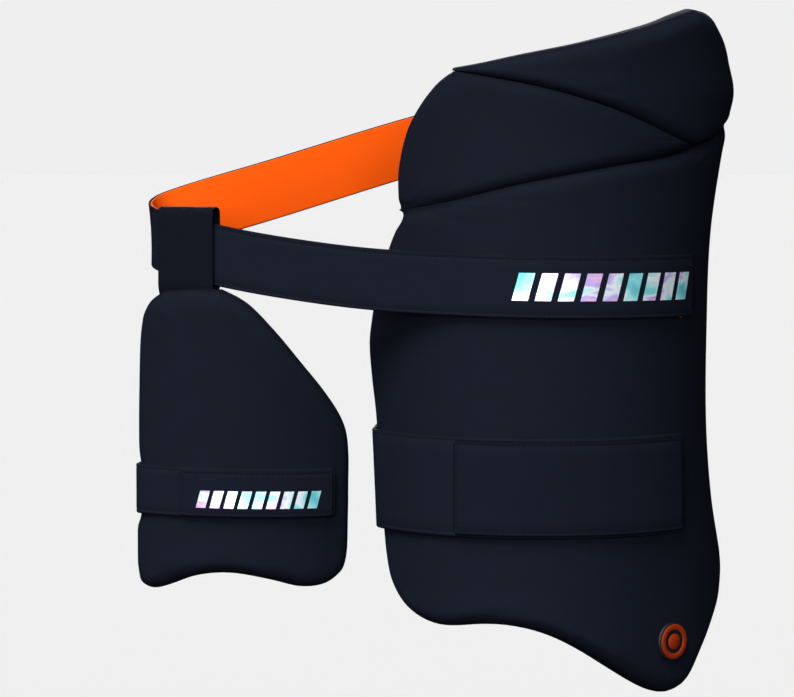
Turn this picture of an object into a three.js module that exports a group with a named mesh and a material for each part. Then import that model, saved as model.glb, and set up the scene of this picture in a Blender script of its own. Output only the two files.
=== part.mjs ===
// Batting thigh guard: an outer thigh and hip guard, an inner thigh pad and the straps that wear them.
// Millimetres, +Z up, the wearer faces -Y. The origin is the middle of the waist strap's loop.
import * as THREE from "three";

// Outer guard: foam sections bent round the upright axis of the outer thigh
const GUARD_AXIS = new THREE.Vector2(63, 0);
const GUARD_RADIUS = 109;
const GUARD_LEFT_RADIUS = 113;
const GUARD_FOAM = 12;
const GUARD_BACKING = 3;
const SEAM_GAP = 0.4;

// Radius of the guard's outer face down the wearer's side, where it flares for hip and knee
const SIDE_FLARE = [
  { height: -290, radius: 122 },
  { height: -217, radius: 120.6 },
  { height: -170, radius: 113.4 },
  { height: -120, radius: 109.4 },
  { height: -60, radius: 109.4 },
  { height: 0, radius: 111.4 },
  { height: 50, radius: 118.1 },
  { height: 66, radius: 121.6 },
  { height: 78, radius: 124.2 },
  { height: 93, radius: 126.8 },
  { height: 112, radius: 124.4 },
  { height: 150, radius: 124 },
];
const FLARE_START = 30;
const FLARE_FULL = 96;
const LEFT_FLARE_START = -35;
const LEFT_FLARE_FULL = -90;

// Seam between the body and the section above it, then the line under the hip flap
const VALLEY = [
  { around: -66, height: 15.5 },
  { around: -60, height: 17.8 },
  { around: -44, height: 21.7 },
  { around: -31, height: 26.1 },
  { around: -9, height: 35.9 },
  { around: 8, height: 42.1 },
  { around: 28.5, height: 48.3 },
  { around: 45.5, height: 52.2 },
  { around: 61, height: 58.2 },
  { around: 71, height: 62.8 },
  { around: 81, height: 68.6 },
  { around: 100, height: 79 },
];
const CREASE = [
  { around: -40, height: 108 },
  { around: -19, height: 102.5 },
  { around: 1, height: 95.2 },
  { around: 22.5, height: 83.7 },
  { around: 36, height: 74.7 },
  { around: 47.5, height: 66.4 },
  { around: 60, height: 58.9 },
  { around: 75, height: 50 },
];

// Free edges of the three guard sections: degrees round the axis, and height
const BODY_LEFT = [
  { around: -71.6, height: -160 },
  { around: -75.6, height: -115 },
  { around: -80, height: -92 },
  { around: -83.5, height: -68 },
  { around: -80, height: -50 },
  { around: -73, height: -26 },
  { around: -65.3, height: -4 },
  { around: -60.8, height: 7.5 },
  { around: -57.9, height: 12.5 },
];
const BODY_FOOT = [
  { around: -68, height: -198 },
  { around: -64.5, height: -217 },
  { around: -57.2, height: -232 },
  { around: -47.5, height: -240.8 },
  { around: -37, height: -243 },
  { around: -19, height: -239.7 },
  { around: -4, height: -242.9 },
  { around: 9, height: -252.2 },
  { around: 24.5, height: -268.4 },
  { around: 36, height: -279.8 },
  { around: 45, height: -286.4 },
  { around: 52.5, height: -287.6 },
  { around: 59.3, height: -280.6 },
  { around: 65.6, height: -266.5 },
  { around: 73.5, height: -250 },
  { around: 82.3, height: -232.5 },
  { around: 91.5, height: -206 },
];
const BODY_RIGHT = [
  { around: 95, height: -150 },
  { around: 97, height: -60 },
  { around: 96, height: 20 },
];
const BODY_HEAD_FROM = -57.3;
const BODY_HEAD_TO = 94;
const PANEL_LEFT = [
  { around: -59.6, height: 28 },
  { around: -59.8, height: 42 },
  { around: -57.7, height: 58 },
  { around: -54, height: 73 },
  { around: -48, height: 87 },
  { around: -42, height: 97.5 },
  { around: -37, height: 103.5 },
];
const PANEL_FROM = -58.6;
const PANEL_HEAD_FROM = -33.5;
const PANEL_TO = 61;
const FLAP_HEAD = [
  { around: -34.5, height: 108.4 },
  { around: -24, height: 111.2 },
  { around: -9, height: 116.5 },
  { around: 8.5, height: 122.4 },
  { around: 20.5, height: 127.2 },
  { around: 32, height: 131.9 },
  { around: 43, height: 136.7 },
  { around: 52, height: 141.7 },
  { around: 61, height: 145.6 },
];
const FLAP_RIGHT = [
  { around: 95.5, height: 84 },
  { around: 96.3, height: 93 },
  { around: 93.5, height: 105 },
  { around: 86.9, height: 117 },
  { around: 81.2, height: 127.5 },
  { around: 75.3, height: 135.8 },
  { around: 69.5, height: 143 },
];
const FLAP_FOOT_TO = 91;

// Cloth behind the upper panel that joins it to the sections above and below
const JOIN_FROM = -56;
const JOIN_HEAD_FROM = -26;
const JOIN_TO = 92;
const JOIN_LAP_BODY = 9;
const JOIN_LAP_FLAP = 5;
const JOIN_THICK = 1;
const JOIN_STANDOFF = 0.8;
const JOIN_LEFT = [
  { around: -57, height: 25 },
  { around: -57, height: 45 },
  { around: -53, height: 67 },
  { around: -44, height: 88 },
  { around: -36, height: 99 },
];

// Inner thigh pad, bent round the upright axis of the inner thigh
const PAD_AXIS = new THREE.Vector2(-126, 63.5);
const PAD_RADIUS = 114;
const PAD_FOAM = 9;
const PAD_BACKING = 2.5;
const PAD_LEFT = [
  { around: -40.7, height: -196 },
  { around: -40.4, height: -183.4 },
  { around: -38.8, height: -178.6 },
  { around: -38.6, height: -146 },
  { around: -39.7, height: -140 },
  { around: -40, height: -130 },
  { around: -39.8, height: -100 },
  { around: -38.8, height: -60 },
  { around: -35.3, height: -42.5 },
];
const PAD_FOOT = [
  { around: -40.6, height: -211 },
  { around: -39, height: -222.6 },
  { around: -34.2, height: -226.1 },
  { around: -27, height: -222.6 },
  { around: -17, height: -216 },
  { around: -5, height: -214 },
  { around: 9, height: -218.7 },
  { around: 19, height: -223.6 },
  { around: 28.5, height: -222.4 },
  { around: 35, height: -213.7 },
  { around: 36.8, height: -200 },
];
const PAD_RIGHT = [
  { around: 37.3, height: -160 },
  { around: 37.1, height: -130 },
  { around: 34, height: -114 },
  { around: 27, height: -96 },
  { around: 19.5, height: -79.5 },
  { around: 10.5, height: -59.5 },
  { around: 1, height: -41.5 },
];
const PAD_HEAD = [
  { around: -29, height: -34 },
  { around: -18, height: -32.5 },
  { around: -8, height: -32.5 },
];

// Edges: how thick a section is at its rim and how far in its face rounds over
const FREE_EDGE = { rim: 2.2, round: 9.5 };
const VALLEY_FOOT_EDGE = { rim: 10, round: 9 };
const VALLEY_HEAD_EDGE = { rim: 8, round: 7.5 };
const CREASE_FOOT_EDGE = { rim: 8.5, round: 2.6 };
const CREASE_HEAD_EDGE = { rim: 5.5, round: 6 };
const BACKING_RIM = 1.4;
const BACKING_ROUND = 5;

// Waist strap: two layers of webbing, right end on the guard, folded at the left, sewn in the flap
const WAIST_WIDTH = 39;
const WAIST_SHELL = 1.3;
const WAIST_LINING = 1.1;
const WAIST_LINING_INSET = 0.5;
const WAIST_CORNER = 4;
const WAIST_STEP = 12;
const LAYER_GAP = 0.3;
const FRONT_CIRCLE = { x: 63, y: 0, radius: 111.8 };
const FOLD_CIRCLE = { x: -164, y: 0, radius: 23 };
const REAR_CIRCLE = { x: 63, y: 0, radius: 104.6 };
const WAIST_FRONT_END = 57.5;
const WAIST_REAR_END = 80;
const WAIST_LEVEL = [
  { along: 0, height: -28.7 },
  { along: 151, height: -26.8 },
  { along: 220, height: -24.6 },
  { along: 271, height: -20.1 },
  { along: 327, height: -12.2 },
  { along: 389, height: 0.9 },
  { along: 433, height: 14.6 },
  { along: 489, height: 30 },
  { along: 583, height: 56.6 },
  { along: 693, height: 84 },
  { along: 793, height: 97 },
  { along: 963, height: 99 },
];
const WAIST_LEAN = [
  { along: 0, lean: 0 },
  { along: 303, lean: 0 },
  { along: 375, lean: 0 },
  { along: 403, lean: 0.07 },
  { along: 433, lean: 0.07 },
  { along: 483, lean: 0 },
  { along: 793, lean: 0 },
  { along: 893, lean: 0.05 },
  { along: 993, lean: 0.05 },
];

// Keeper: a loop of stitched webbing that hangs the inner pad on the waist strap
const KEEPER_WIDTH = 39;
const KEEPER_AT = { x: -163.5, y: -27, turn: -22.5 };
const KEEPER_TOP = 20;
const KEEPER_SLOT_TOP = 18.4;
const KEEPER_SLOT_FOOT = -33;
const KEEPER_TAIL = -52;
const KEEPER_LEAF = 1.5;
const KEEPER_SLOT_FRONT = 2;
const KEEPER_SLOT_BACK = -7.2;

// Thigh strap: wide elastic over the guard, round behind the leg, sewn inside the guard's right edge
const THIGH_WIDTH = 63;
const THIGH_LEVEL = -153.2;
const THIGH_THICK = 2;
const THIGH_STANDOFF = 1.2;
const THIGH_CORNER = 4;
const THIGH_END = 53;
const THIGH_ROUTE = [
  { around: -60, radius: 112.9 },
  { around: -66, radius: 113.7 },
  { around: -68, radius: 113.3 },
  { around: -72, radius: 111 },
  { around: -80, radius: 105.4 },
  { around: -90, radius: 102.2 },
  { around: -130, radius: 99.5 },
  { around: -180, radius: 95.5 },
  { around: -230, radius: 93.6 },
  { around: -292, radius: 93.6 },
];
const THIGH_LEAN = [
  { around: -292, lean: -0.055 },
  { around: -262, lean: -0.055 },
  { around: -180, lean: 0 },
  { around: -90, lean: 0.085 },
  { around: -73, lean: 0.05 },
  { around: -60, lean: 0 },
  { around: 25, lean: 0 },
  { around: 60, lean: -0.035 },
];
const THIGH_TAB = { from: 50.7, to: -30, width: 59.6, thick: 1.6, corner: 3 };
const TAB_GAP = 0.5;

// Inner strap: narrow elastic over the inner pad, round behind the leg, sewn inside the pad
const INNER_WIDTH = 32;
const INNER_LEVEL_LEFT = -161.3;
const INNER_LEVEL_RIGHT = -163.1;
const INNER_THICK = 1.8;
const INNER_STANDOFF = 0.6;
const INNER_CORNER = 3;
const INNER_END = 29.7;
const INNER_WRAP = { around: -35.2, radius: 8.8 };
const INNER_BACK = { x: -130, y: 18, radius: 60 };
const INNER_TURN = { around: 25, radius: 12 };
const INNER_SEWN_END = 4;
const INNER_TAB = { from: 28.2, to: -20.8, width: 30.4, thick: 1.5, corner: 2.5 };

// Round badge low on the guard, with a raised ring and dot
const BADGE = { around: 47, height: -253.5, radius: 12.3, thick: 2, chamfer: 0.7, standoff: 0.4 };
const BADGE_RING = { inner: 7.5, outer: 11.1 };
const BADGE_DOT = 5;
const BADGE_RELIEF = 0.8;

const NAVY = 0x1b1f2b;
const DARK_NAVY = 0x14161f;
const ORANGE = 0xff650d;

const EDGE_SAMPLES = 90;
const EDGE_CROWDING = 0.78;
const CORNER_STEPS = [0.12, 0.45];
const TURNED_SIDES = 32;
const rad = THREE.MathUtils.degToRad;
const lerp = THREE.MathUtils.lerp;

// Smooth value through the rows of a table, by the column given first
function through(rows, input, output) {
  const sorted = [...rows].sort((a, b) => a[input] - b[input]);
  const x = sorted.map((row) => row[input]);
  const y = sorted.map((row) => row[output]);
  const last = x.length - 1;
  const slope = x.map((_, i) => {
    const before = Math.max(i - 1, 0);
    const after = Math.min(i + 1, last);
    return (y[after] - y[before]) / (x[after] - x[before]);
  });
  return (value) => {
    const at = THREE.MathUtils.clamp(value, x[0], x[last]);
    let i = 0;
    while (i < last - 1 && at > x[i + 1]) i += 1;
    const step = x[i + 1] - x[i];
    const t = (at - x[i]) / step;
    const rise = y[i + 1] - y[i];
    const bendStart = slope[i] * step - rise;
    const bendEnd = rise - slope[i + 1] * step;
    return y[i] + t * rise + t * (1 - t) * ((1 - t) * bendStart + t * bendEnd);
  };
}

// Point at an angle round an axis; zero faces the front and plus turns to the wearer's side
function onAxis(axis, around, radius, height) {
  const turn = rad(around);
  return new THREE.Vector3(axis.x + radius * Math.sin(turn), axis.y - radius * Math.cos(turn), height);
}

// One closed shell from an outer and an inner grid of points, walled along its four edges
function shell(outer, inner) {
  const rows = outer.length;
  const columns = outer[0].length;
  const points = [...outer.flat(), ...inner.flat()];
  const innerStart = rows * columns;
  const index = [];
  for (let j = 0; j < rows - 1; j += 1) {
    for (let i = 0; i < columns - 1; i += 1) {
      const a = j * columns + i;
      const b = a + 1;
      const c = b + columns;
      const d = a + columns;
      index.push(a, b, c, a, c, d);
      index.push(innerStart + a, innerStart + c, innerStart + b);
      index.push(innerStart + a, innerStart + d, innerStart + c);
    }
  }
  const rim = [];
  for (let i = 0; i < columns - 1; i += 1) rim.push(i);
  for (let j = 0; j < rows - 1; j += 1) rim.push(j * columns + columns - 1);
  for (let i = columns - 1; i > 0; i -= 1) rim.push((rows - 1) * columns + i);
  for (let j = rows - 1; j > 0; j -= 1) rim.push(j * columns);
  rim.forEach((a, k) => {
    const b = rim[(k + 1) % rim.length];
    index.push(b, a, innerStart + a, b, innerStart + a, innerStart + b);
  });
  const geometry = new THREE.BufferGeometry().setFromPoints(points);
  geometry.setIndex(index);
  geometry.computeVertexNormals();
  return geometry;
}

// Steps from 0 to 1 that crowd towards both ends, where an edge rounds over
function crowded(count) {
  return Array.from({ length: count + 1 }, (_, k) => {
    const t = k / count;
    return t - (EDGE_CROWDING * Math.sin(2 * Math.PI * t)) / (2 * Math.PI);
  });
}

// Edge of a section as a function from 0 to 1, through table rows or along a seam
function edgeThrough(rows) {
  const curve = new THREE.SplineCurve(rows.map((row) => new THREE.Vector2(row.around, row.height)));
  curve.arcLengthDivisions = 400;
  return (t) => curve.getPointAt(t);
}
function edgeAlong(seam, from, to, lift) {
  return (t) => {
    const around = lerp(from, to, t);
    return new THREE.Vector2(around, seam(around) + lift);
  };
}
const rowOf = (point) => ({ around: point.x, height: point.y });

// How far a spot on a section lies from an edge, measured on the unrolled section
function reachOf(spot, line, perDegree) {
  let best = Infinity;
  for (let k = 0; k < line.length - 1; k += 1) {
    const ax = line[k].x * perDegree;
    const ay = line[k].y;
    const bx = line[k + 1].x * perDegree - ax;
    const by = line[k + 1].y - ay;
    const px = spot.x * perDegree - ax;
    const py = spot.y - ay;
    const along = THREE.MathUtils.clamp((px * bx + py * by) / (bx * bx + by * by), 0, 1);
    best = Math.min(best, Math.hypot(px - along * bx, py - along * by));
  }
  return best;
}

// Quarter-round rise from a rim to full thickness
function rise(distance, round) {
  const short = Math.max(0, 1 - distance / round);
  return Math.sqrt(1 - short * short);
}

// Foam section: a four-sided patch wrapped round an axis, rounded over towards every edge
function section({ axis, radiusAt, foam, backing, sides, edges, columns, rows }) {
  const perDegree = rad(radiusAt(0, 0) - foam);
  const lines = edges.map((edge) => ({
    ...edge,
    runs: edge.sides.map((side) =>
      Array.from({ length: EDGE_SAMPLES + 1 }, (_, k) => sides[side](k / EDGE_SAMPLES))),
  }));
  const acrossSteps = crowded(columns);
  const upSteps = crowded(rows);
  const outer = [];
  const inner = [];
  for (const up of upSteps) {
    const outerRow = [];
    const innerRow = [];
    for (const across of acrossSteps) {
      const spot = patchSpot(sides, across, up);
      let face = 1;
      let back = 1;
      let rim = 0;
      let weight = 0;
      for (const line of lines) {
        const reach = Math.min(...line.runs.map((run) => reachOf(spot, run, perDegree)));
        face *= rise(reach, line.round);
        back *= rise(reach, BACKING_ROUND);
        const near = 1 / (reach + 0.05);
        rim += line.rim * near;
        weight += near;
      }
      const rimHere = rim / weight;
      const base = radiusAt(spot.x, spot.y) - foam;
      const outside = base + rimHere + (foam - rimHere) * face;
      const inside = base - BACKING_RIM - (backing - BACKING_RIM) * back;
      outerRow.push(onAxis(axis, spot.x, outside, spot.y));
      innerRow.push(onAxis(axis, spot.x, inside, spot.y));
    }
    outer.push(outerRow);
    inner.push(innerRow);
  }
  return shell(outer, inner);
}

// Spot inside four edges that share their corners
function patchSpot(sides, across, up) {
  const foot = sides.foot(across);
  const head = sides.head(across);
  const left = sides.left(up);
  const right = sides.right(up);
  const between = (key) => {
    const ruled = lerp(foot[key], head[key], up) + lerp(left[key], right[key], across);
    const low = lerp(sides.foot(0)[key], sides.foot(1)[key], across);
    const high = lerp(sides.head(0)[key], sides.head(1)[key], across);
    return ruled - lerp(low, high, up);
  };
  return new THREE.Vector2(between("x"), between("y"));
}

// Side edges start and end on the foot and head edges' own ends
function withSides(foot, head, leftRows, rightRows) {
  const left = edgeThrough([rowOf(foot(0)), ...leftRows, rowOf(head(0))]);
  const right = edgeThrough([rowOf(foot(1)), ...rightRows, rowOf(head(1))]);
  return { foot, head, left, right };
}

// Webbing along stations that each hold a place, an outward normal and an upward lean
function webbing(stations, width, inside, outside, corner) {
  const length = stations[stations.length - 1].along;
  const outer = [[], []];
  const inner = [[], []];
  for (const station of stations) {
    const toEnd = Math.min(station.along, length - station.along);
    const short = Math.max(0, corner - toEnd);
    const half = width / 2 - corner + Math.sqrt(corner * corner - short * short);
    [-half, half].forEach((offset, row) => {
      const middle = station.at.clone().addScaledVector(station.up, offset);
      outer[row].push(middle.clone().addScaledVector(station.out, outside));
      inner[row].push(middle.clone().addScaledVector(station.out, inside));
    });
  }
  outer.forEach((row) => row.reverse());
  inner.forEach((row) => row.reverse());
  return shell(outer, inner);
}

// Stations along a plan route that runs clockwise, with its level and lean at each
function stationsAlong(places, leanAt) {
  const stations = [];
  let along = 0;
  places.forEach((place, k) => {
    const before = places[Math.max(k - 1, 0)];
    const after = places[Math.min(k + 1, places.length - 1)];
    if (k > 0) along += place.distanceTo(before);
    const run = after.clone().sub(before).normalize();
    const flat = new THREE.Vector3(-run.y, run.x, 0).normalize();
    const up = new THREE.Vector3(0, 0, 1).addScaledVector(flat, leanAt(k, along));
    up.addScaledVector(run, -up.dot(run)).normalize();
    const out = up.clone().cross(run).normalize();
    stations.push({ along, at: place, up, out });
  });
  return stations;
}

// Plan route of a band pulled clockwise round circles, from one angle to another
function beltRoute(circles, startAround, endAround) {
  const path = new THREE.Path();
  let enter = rad(startAround - 90);
  circles.forEach((circle, k) => {
    const next = circles[k + 1];
    let leave = rad(endAround - 90);
    if (next) {
      const dx = next.x - circle.x;
      const dy = next.y - circle.y;
      const share = THREE.MathUtils.clamp((circle.radius - next.radius) / Math.hypot(dx, dy), -1, 1);
      leave = Math.atan2(dy, dx) + Math.acos(share);
    }
    path.absarc(circle.x, circle.y, circle.radius, enter, leave, true);
    enter = leave;
  });
  return path;
}

// Points along a plan route about a set distance apart, closer together near both ends
function spaced(path, step, corner) {
  const length = path.getLength();
  const count = Math.round(length / step);
  const alongs = Array.from({ length: count + 1 }, (_, k) => (k / count) * length);
  const extra = CORNER_STEPS.flatMap((share) => [corner * share, length - corner * share]);
  return [...alongs, ...extra].sort((a, b) => a - b).map((along) => ({
    along,
    plan: path.getPointAt(along / length),
  }));
}

// Surface of the guard's outer face
const flareAt = through(SIDE_FLARE, "height", "radius");
function guardRadius(around, height) {
  const side = THREE.MathUtils.smoothstep(around, FLARE_START, FLARE_FULL);
  const left = THREE.MathUtils.smoothstep(-around, -LEFT_FLARE_START, -LEFT_FLARE_FULL);
  return lerp(GUARD_RADIUS, flareAt(height), side) + (GUARD_LEFT_RADIUS - GUARD_RADIUS) * left;
}
const padRadius = () => PAD_RADIUS;

// The three guard sections share two seams
const valley = through(VALLEY, "around", "height");
const crease = through(CREASE, "around", "height");
const halfGap = SEAM_GAP / 2;
const underFlap = (around) => Math.max(crease(around), valley(around));

const bodySides = withSides(
  edgeThrough(BODY_FOOT), edgeAlong(valley, BODY_HEAD_FROM, BODY_HEAD_TO, -halfGap), BODY_LEFT, BODY_RIGHT);
const panelSides = withSides(
  edgeAlong(valley, PANEL_FROM, PANEL_TO, halfGap), edgeAlong(crease, PANEL_HEAD_FROM, PANEL_TO, -halfGap),
  PANEL_LEFT, []);
const flapSides = withSides(
  edgeAlong(underFlap, FLAP_HEAD[0].around, FLAP_FOOT_TO, halfGap), edgeThrough(FLAP_HEAD), [], FLAP_RIGHT);
const padSides = withSides(edgeThrough(PAD_FOOT), edgeThrough(PAD_HEAD), PAD_LEFT, PAD_RIGHT);

const joiningSides = withSides(
  edgeAlong(valley, JOIN_FROM, JOIN_TO, -JOIN_LAP_BODY),
  edgeAlong(underFlap, JOIN_HEAD_FROM, JOIN_TO, JOIN_LAP_FLAP), JOIN_LEFT, []);

// Flat cloth that lies behind the guard's backing
function joiningCloth(columns, rows) {
  const grid = (offset) => Array.from({ length: rows + 1 }, (_, j) =>
    Array.from({ length: columns + 1 }, (_, i) => {
      const spot = patchSpot(joiningSides, i / columns, j / rows);
      const face = guardRadius(spot.x, spot.y) - GUARD_FOAM - GUARD_BACKING;
      return onAxis(GUARD_AXIS, spot.x, face - offset, spot.y);
    }));
  return shell(grid(JOIN_STANDOFF), grid(JOIN_STANDOFF + JOIN_THICK));
}

const guardBody = section({
  axis: GUARD_AXIS, radiusAt: guardRadius, foam: GUARD_FOAM, backing: GUARD_BACKING, sides: bodySides,
  edges: [{ sides: ["left", "foot", "right"], ...FREE_EDGE }, { sides: ["head"], ...VALLEY_FOOT_EDGE }],
  columns: 32, rows: 22,
});
const upperPanel = section({
  axis: GUARD_AXIS, radiusAt: guardRadius, foam: GUARD_FOAM, backing: GUARD_BACKING, sides: panelSides,
  edges: [
    { sides: ["left"], ...FREE_EDGE },
    { sides: ["foot"], ...VALLEY_HEAD_EDGE },
    { sides: ["head", "right"], ...CREASE_FOOT_EDGE },
  ],
  columns: 20, rows: 12,
});
const hipFlap = section({
  axis: GUARD_AXIS, radiusAt: guardRadius, foam: GUARD_FOAM, backing: GUARD_BACKING, sides: flapSides,
  edges: [{ sides: ["head", "left", "right"], ...FREE_EDGE }, { sides: ["foot"], ...CREASE_HEAD_EDGE }],
  columns: 22, rows: 12,
});
const innerPad = section({
  axis: PAD_AXIS, radiusAt: padRadius, foam: PAD_FOAM, backing: PAD_BACKING, sides: padSides,
  edges: [{ sides: ["left", "foot", "right", "head"], ...FREE_EDGE }],
  columns: 20, rows: 20,
});

// Waist strap and its lining follow one route
const waistLevel = through(WAIST_LEVEL, "along", "height");
const waistRoute = beltRoute([FRONT_CIRCLE, FOLD_CIRCLE, REAR_CIRCLE], WAIST_FRONT_END, WAIST_REAR_END);
const waistPlaces = spaced(waistRoute, WAIST_STEP, WAIST_CORNER).map(({ along, plan }) =>
  new THREE.Vector3(plan.x, plan.y, waistLevel(along)));
const waistLean = through(WAIST_LEAN, "along", "lean");
const waistStations = stationsAlong(waistPlaces, (k, along) => waistLean(along));
const halfLayer = LAYER_GAP / 2;
const waistStrap = webbing(waistStations, WAIST_WIDTH, halfLayer, halfLayer + WAIST_SHELL, WAIST_CORNER);
const liningWidth = WAIST_WIDTH - 2 * WAIST_LINING_INSET;
const waistLining = webbing(waistStations, liningWidth, -halfLayer - WAIST_LINING, -halfLayer, WAIST_CORNER);

// Keeper seen from its side: across is out of the strap's face, up is height
function keeperGeometry() {
  const front = KEEPER_SLOT_FRONT + KEEPER_LEAF;
  const back = KEEPER_SLOT_BACK - KEEPER_LEAF;
  const shoulder = KEEPER_TOP - 2 * KEEPER_LEAF;
  const neckTop = KEEPER_SLOT_FOOT + KEEPER_LEAF;
  const neckFoot = KEEPER_SLOT_FOOT - 4 * KEEPER_LEAF;
  const bevel = KEEPER_LEAF / 2;
  const outline = new THREE.Shape();
  outline.moveTo(KEEPER_LEAF, KEEPER_TAIL);
  outline.lineTo(KEEPER_LEAF, neckFoot);
  outline.lineTo(front, neckTop);
  outline.lineTo(front, shoulder);
  outline.quadraticCurveTo(front, KEEPER_TOP, (front + back) / 2, KEEPER_TOP);
  outline.quadraticCurveTo(back, KEEPER_TOP, back, shoulder);
  outline.lineTo(back, neckTop);
  outline.lineTo(-KEEPER_LEAF, neckFoot);
  outline.lineTo(-KEEPER_LEAF, KEEPER_TAIL);
  outline.closePath();
  const slot = new THREE.Path();
  slot.moveTo(KEEPER_SLOT_FRONT, KEEPER_SLOT_FOOT + bevel);
  slot.lineTo(KEEPER_SLOT_FRONT - bevel, KEEPER_SLOT_FOOT);
  slot.lineTo(KEEPER_SLOT_BACK + bevel, KEEPER_SLOT_FOOT);
  slot.lineTo(KEEPER_SLOT_BACK, KEEPER_SLOT_FOOT + bevel);
  slot.lineTo(KEEPER_SLOT_BACK, KEEPER_SLOT_TOP - bevel);
  slot.lineTo(KEEPER_SLOT_BACK + bevel, KEEPER_SLOT_TOP);
  slot.lineTo(KEEPER_SLOT_FRONT - bevel, KEEPER_SLOT_TOP);
  slot.lineTo(KEEPER_SLOT_FRONT, KEEPER_SLOT_TOP - bevel);
  slot.closePath();
  outline.holes.push(slot);
  const geometry = new THREE.ExtrudeGeometry(outline, {
    depth: KEEPER_WIDTH, bevelEnabled: false, curveSegments: 5 });
  geometry.translate(0, 0, -KEEPER_WIDTH / 2);
  const turn = rad(KEEPER_AT.turn);
  const out = new THREE.Vector3(Math.sin(turn), -Math.cos(turn), 0);
  const up = new THREE.Vector3(0, 0, 1);
  const along = out.clone().cross(up);
  geometry.applyMatrix4(new THREE.Matrix4().makeBasis(out, up, along));
  geometry.translate(KEEPER_AT.x, KEEPER_AT.y, 0);
  return geometry;
}

// Thigh strap: on the guard's face at the front, on its own route behind
const thighBehind = through(THIGH_ROUTE, "around", "radius");
const thighLean = through(THIGH_LEAN, "around", "lean");
const routeStart = THIGH_ROUTE[0].around;
const routeEnd = THIGH_ROUTE[THIGH_ROUTE.length - 1].around;
function thighRadius(around) {
  if (around < routeStart) return thighBehind(around);
  return guardRadius(around, THIGH_LEVEL) + THIGH_STANDOFF + THIGH_THICK / 2;
}
function thighStations(from, to, count, corner) {
  const ends = CORNER_STEPS.map((share) => (corner * share) / rad(GUARD_RADIUS));
  const arounds = Array.from({ length: count + 1 }, (_, k) => lerp(from, to, k / count));
  arounds.push(from - ends[0], from - ends[1], to + ends[0], to + ends[1]);
  arounds.sort((a, b) => b - a);
  const places = arounds.map((around) => onAxis(GUARD_AXIS, around, thighRadius(around), THIGH_LEVEL));
  return stationsAlong(places, (k) => thighLean(arounds[k]));
}
const halfThigh = THIGH_THICK / 2;
const thighStrap = webbing(
  thighStations(THIGH_END, routeEnd, 62, THIGH_CORNER), THIGH_WIDTH, -halfThigh, halfThigh, THIGH_CORNER);
const tabFoot = halfThigh + TAB_GAP;
const thighTab = webbing(
  thighStations(THIGH_TAB.from, THIGH_TAB.to, 16, THIGH_TAB.corner),
  THIGH_TAB.width, tabFoot, tabFoot + THIGH_TAB.thick, THIGH_TAB.corner);

// Inner strap: over the pad, round its left rim, behind the leg and back inside the pad
const innerFace = PAD_RADIUS + INNER_STANDOFF + INNER_THICK / 2;
const innerBack = PAD_RADIUS - PAD_FOAM - PAD_BACKING - INNER_STANDOFF - INNER_THICK / 2;
const onPad = (spot, radius) => {
  const at = onAxis(PAD_AXIS, spot.around, radius - spot.radius, 0);
  return { x: at.x, y: at.y, radius: spot.radius };
};
const faceCircle = { x: PAD_AXIS.x, y: PAD_AXIS.y, radius: innerFace };
const backCircle = { x: PAD_AXIS.x, y: PAD_AXIS.y, radius: innerBack };
const innerCircles = [
  faceCircle, onPad(INNER_WRAP, innerFace), INNER_BACK, onPad(INNER_TURN, innerBack), backCircle];
const padLeftEdge = onAxis(PAD_AXIS, PAD_FOOT[0].around, PAD_RADIUS, 0).x;
const padRightEdge = onAxis(PAD_AXIS, PAD_FOOT[PAD_FOOT.length - 1].around, PAD_RADIUS, 0).x;
function innerStations(path, step, corner) {
  const places = spaced(path, step, corner).map(({ plan }) => {
    const share = THREE.MathUtils.clamp((plan.x - padLeftEdge) / (padRightEdge - padLeftEdge), 0, 1);
    return new THREE.Vector3(plan.x, plan.y, lerp(INNER_LEVEL_LEFT, INNER_LEVEL_RIGHT, share));
  });
  return stationsAlong(places, () => 0);
}
const halfInner = INNER_THICK / 2;
const innerRoute = beltRoute(innerCircles, INNER_END, INNER_SEWN_END);
const innerStrap = webbing(
  innerStations(innerRoute, 7, INNER_CORNER), INNER_WIDTH, -halfInner, halfInner, INNER_CORNER);
const innerTabRoute = beltRoute([faceCircle], INNER_TAB.from, INNER_TAB.to);
const innerTabFoot = halfInner + TAB_GAP;
const innerTab = webbing(
  innerStations(innerTabRoute, 9, INNER_TAB.corner),
  INNER_TAB.width, innerTabFoot, innerTabFoot + INNER_TAB.thick, INNER_TAB.corner);

// Badge parts are turned discs that lie on the guard's face
function turned(profile) {
  const points = profile.map(([x, y]) => new THREE.Vector2(x, y));
  const geometry = new THREE.LatheGeometry(points, TURNED_SIDES);
  geometry.rotateX(Math.PI / 2);
  return geometry;
}
function onGuard(geometry, lift) {
  const { around, height } = BADGE;
  const at = (turn, level) => onAxis(GUARD_AXIS, turn, guardRadius(turn, level), level);
  const across = at(around + 1, height).sub(at(around - 1, height));
  const up = at(around, height + 1).sub(at(around, height - 1));
  const out = across.cross(up).normalize();
  const spin = new THREE.Quaternion().setFromUnitVectors(new THREE.Vector3(0, 0, 1), out);
  geometry.applyQuaternion(spin);
  const place = at(around, height).addScaledVector(out, lift);
  geometry.translate(place.x, place.y, place.z);
  return geometry;
}
function badgeDisc() {
  const { radius, thick, chamfer } = BADGE;
  const wall = thick - chamfer;
  return turned([[0, 0], [radius, 0], [radius, wall], [radius - chamfer, thick], [0, thick]]);
}
function badgeRing() {
  const { inner, outer } = BADGE_RING;
  return turned([[inner, 0], [outer, 0], [outer, BADGE_RELIEF], [inner, BADGE_RELIEF], [inner, 0]]);
}
function badgeDot() {
  return turned([[0, 0], [BADGE_DOT, 0], [BADGE_DOT, BADGE_RELIEF], [0, BADGE_RELIEF]]);
}
const reliefLift = BADGE.standoff + BADGE.thick + LAYER_GAP;

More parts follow.
